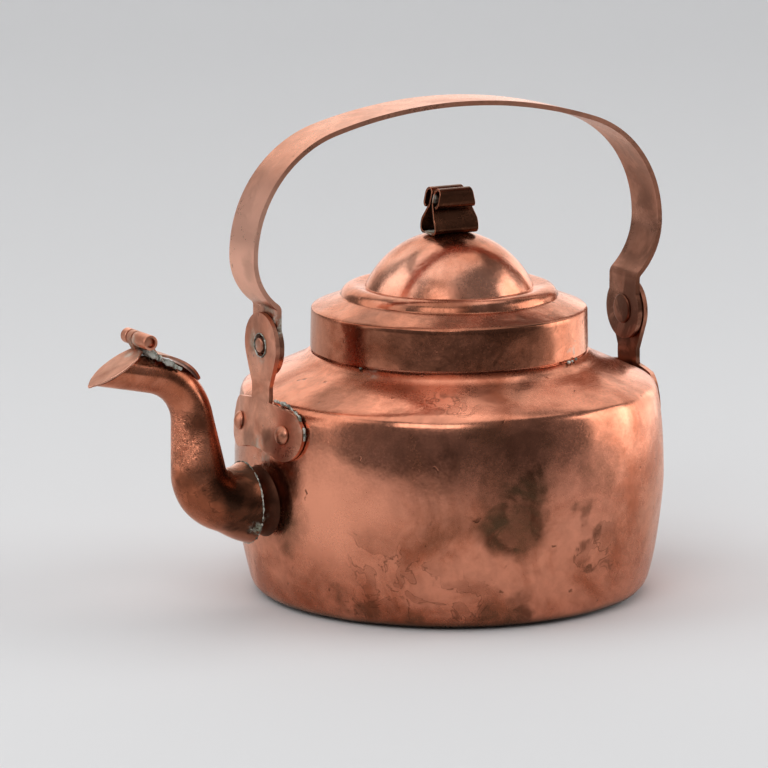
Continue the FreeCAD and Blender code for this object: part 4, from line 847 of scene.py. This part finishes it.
# plain pale sweep under and behind the pot, in metres
sweepShape = {"half": 3.4, "front": -3.2, "bend": 1.75, "round": 0.95, "top": 3.4, "grain": 0.12, "turn": 60}
sweepBack = sweepShape["bend"] + sweepShape["round"]
bm = bmesh.new()
drawLine(bm, [(sweepShape["front"], 0), (sweepShape["bend"], 0),
              (sweepBack, sweepShape["round"], sweepShape["round"]), (sweepBack, sweepShape["top"])],
         sweepShape["grain"])
shiftBy(bm, (0, -sweepShape["half"], 0))
pushOut(bm, (0, 2 * sweepShape["half"], 0), 2)
turnBy(bm, sweepShape["turn"], "Z")
faceOut(bm)
sweepMesh = bpy.data.meshes.new("sweep")
bm.to_mesh(sweepMesh)
bm.free()
sweepMesh.shade_smooth()
sweep = bpy.data.objects.new("sweep", sweepMesh)
bpy.context.scene.collection.objects.link(sweep)
paper = bpy.data.materials.new("paleSweep")
paper.use_nodes = True
paperTree = paper.node_tree
paperShader = paperTree.nodes["Principled BSDF"]
paperShader.inputs["Roughness"].default_value = 0.85
paperShader.inputs["Specular IOR Level"].default_value = 0.2
# metal sees the dark room in front of the pot, the camera sees the pale floor, painted paler towards the back where
# less lamp light reaches
paperLook = {"floor": (0.75, 0.75, 0.755, 1), "back": (0.97, 0.97, 0.975, 1), "room": (0.07, 0.065, 0.06, 1),
             "toRoom": (-0.309, -0.951, 0), "toBack": (0.5, 0.866, 0)}
floorSpot = addNode(paperTree, "ShaderNodeTexCoord").outputs["Object"]
inFront = addNode(paperTree, "ShaderNodeVectorMath", {0: floorSpot, 1: paperLook["toRoom"]},
                  operation="DOT_PRODUCT").outputs["Value"]
seenInMetal = addNode(paperTree, "ShaderNodeLightPath").outputs["Is Glossy Ray"]
roomShare = calc(paperTree, "MULTIPLY", seenInMetal, soften(paperTree, inFront, 0.4, 0.62))
behindPot = addNode(paperTree, "ShaderNodeVectorMath", {0: floorSpot, 1: paperLook["toBack"]},
                    operation="DOT_PRODUCT").outputs["Value"]
fade = soften(paperTree, behindPot, 0.5, 2.3)
floorColour = mixColour(paperTree, fade, paperLook["floor"], paperLook["back"])
floorColour = mixColour(paperTree, roomShare, floorColour, paperLook["room"])
paperTree.links.new(floorColour, paperShader.inputs["Base Color"])
sweepMesh.materials.append(paper)

# soft boxes above, in front, at both sides and behind, and a small low card; the last two show in the metal only
softBoxes = {"above": {"at": (-0.1, 0.2, 2.0), "size": (2.2, 1.8), "power": 16},
             "front": {"at": (-1.3, -1.4, 1.6), "size": (1.4, 1.2), "power": 16},
             "right": {"at": (1.5, -0.55, 0.6), "size": (1.1, 1.3), "power": 13},
             "left": {"at": (-1.55, 0.75, 1.0), "size": (1.8, 1.7), "power": 14},
             "behind": {"at": (0.8, 1.4, 0.9), "size": (2.8, 2.1), "power": 19, "metalOnly": True},
             "card": {"at": (0.45, 0.0, 0.12), "size": (0.45, 0.26), "power": 0.5, "metalOnly": True}}
potMiddle = Vector((0, 0, 0.08))
for name, box in softBoxes.items():
    lamp = bpy.data.lights.new(name, "AREA")
    lamp.shape = "RECTANGLE"
    lamp.size, lamp.size_y = box["size"]
    lamp.energy = box["power"]
    holder = bpy.data.objects.new(name, lamp)
    holder.location = box["at"]
    holder.rotation_mode = "QUATERNION"
    holder.rotation_quaternion = (potMiddle - holder.location).to_track_quat("-Z", "Y")
    holder.visible_camera = False
    holder.visible_diffuse = "metalOnly" not in box
    bpy.context.scene.collection.objects.link(holder)
room = bpy.data.worlds.new("room")
room.use_nodes = True
room.node_tree.nodes["Background"].inputs["Color"].default_value = (0.62, 0.63, 0.65, 1)
room.node_tree.nodes["Background"].inputs["Strength"].default_value = 0.30
bpy.context.scene.world = room
bpy.context.scene.view_settings.view_transform = "Standard"

# camera at the photograph's angle
cameraShape = {"turn": math.radians(30), "tilt": math.radians(10.98), "away": 2.1849, "look": 0.08364,
               "side": 0.0262, "lens": 254.0, "sensor": 36}
toCamera = Vector((-math.sin(cameraShape["turn"]) * math.cos(cameraShape["tilt"]),
                   -math.cos(cameraShape["turn"]) * math.cos(cameraShape["tilt"]), math.sin(cameraShape["tilt"])))
acrossView = Vector((math.cos(cameraShape["turn"]), -math.sin(cameraShape["turn"]), 0))
camera = bpy.data.objects.new("camera", bpy.data.cameras.new("camera"))
camera.data.lens = cameraShape["lens"]
camera.data.sensor_width = cameraShape["sensor"]
camera.location = Vector((0, 0, cameraShape["look"])) + toCamera * cameraShape["away"]
aim = Vector((0, 0, cameraShape["look"])) - acrossView * cameraShape["side"]
camera.rotation_mode = "QUATERNION"
camera.rotation_quaternion = (aim - camera.location).to_track_quat("-Z", "Y")
bpy.context.scene.collection.objects.link(camera)
bpy.context.scene.camera = camera
print("stage, light and camera made")
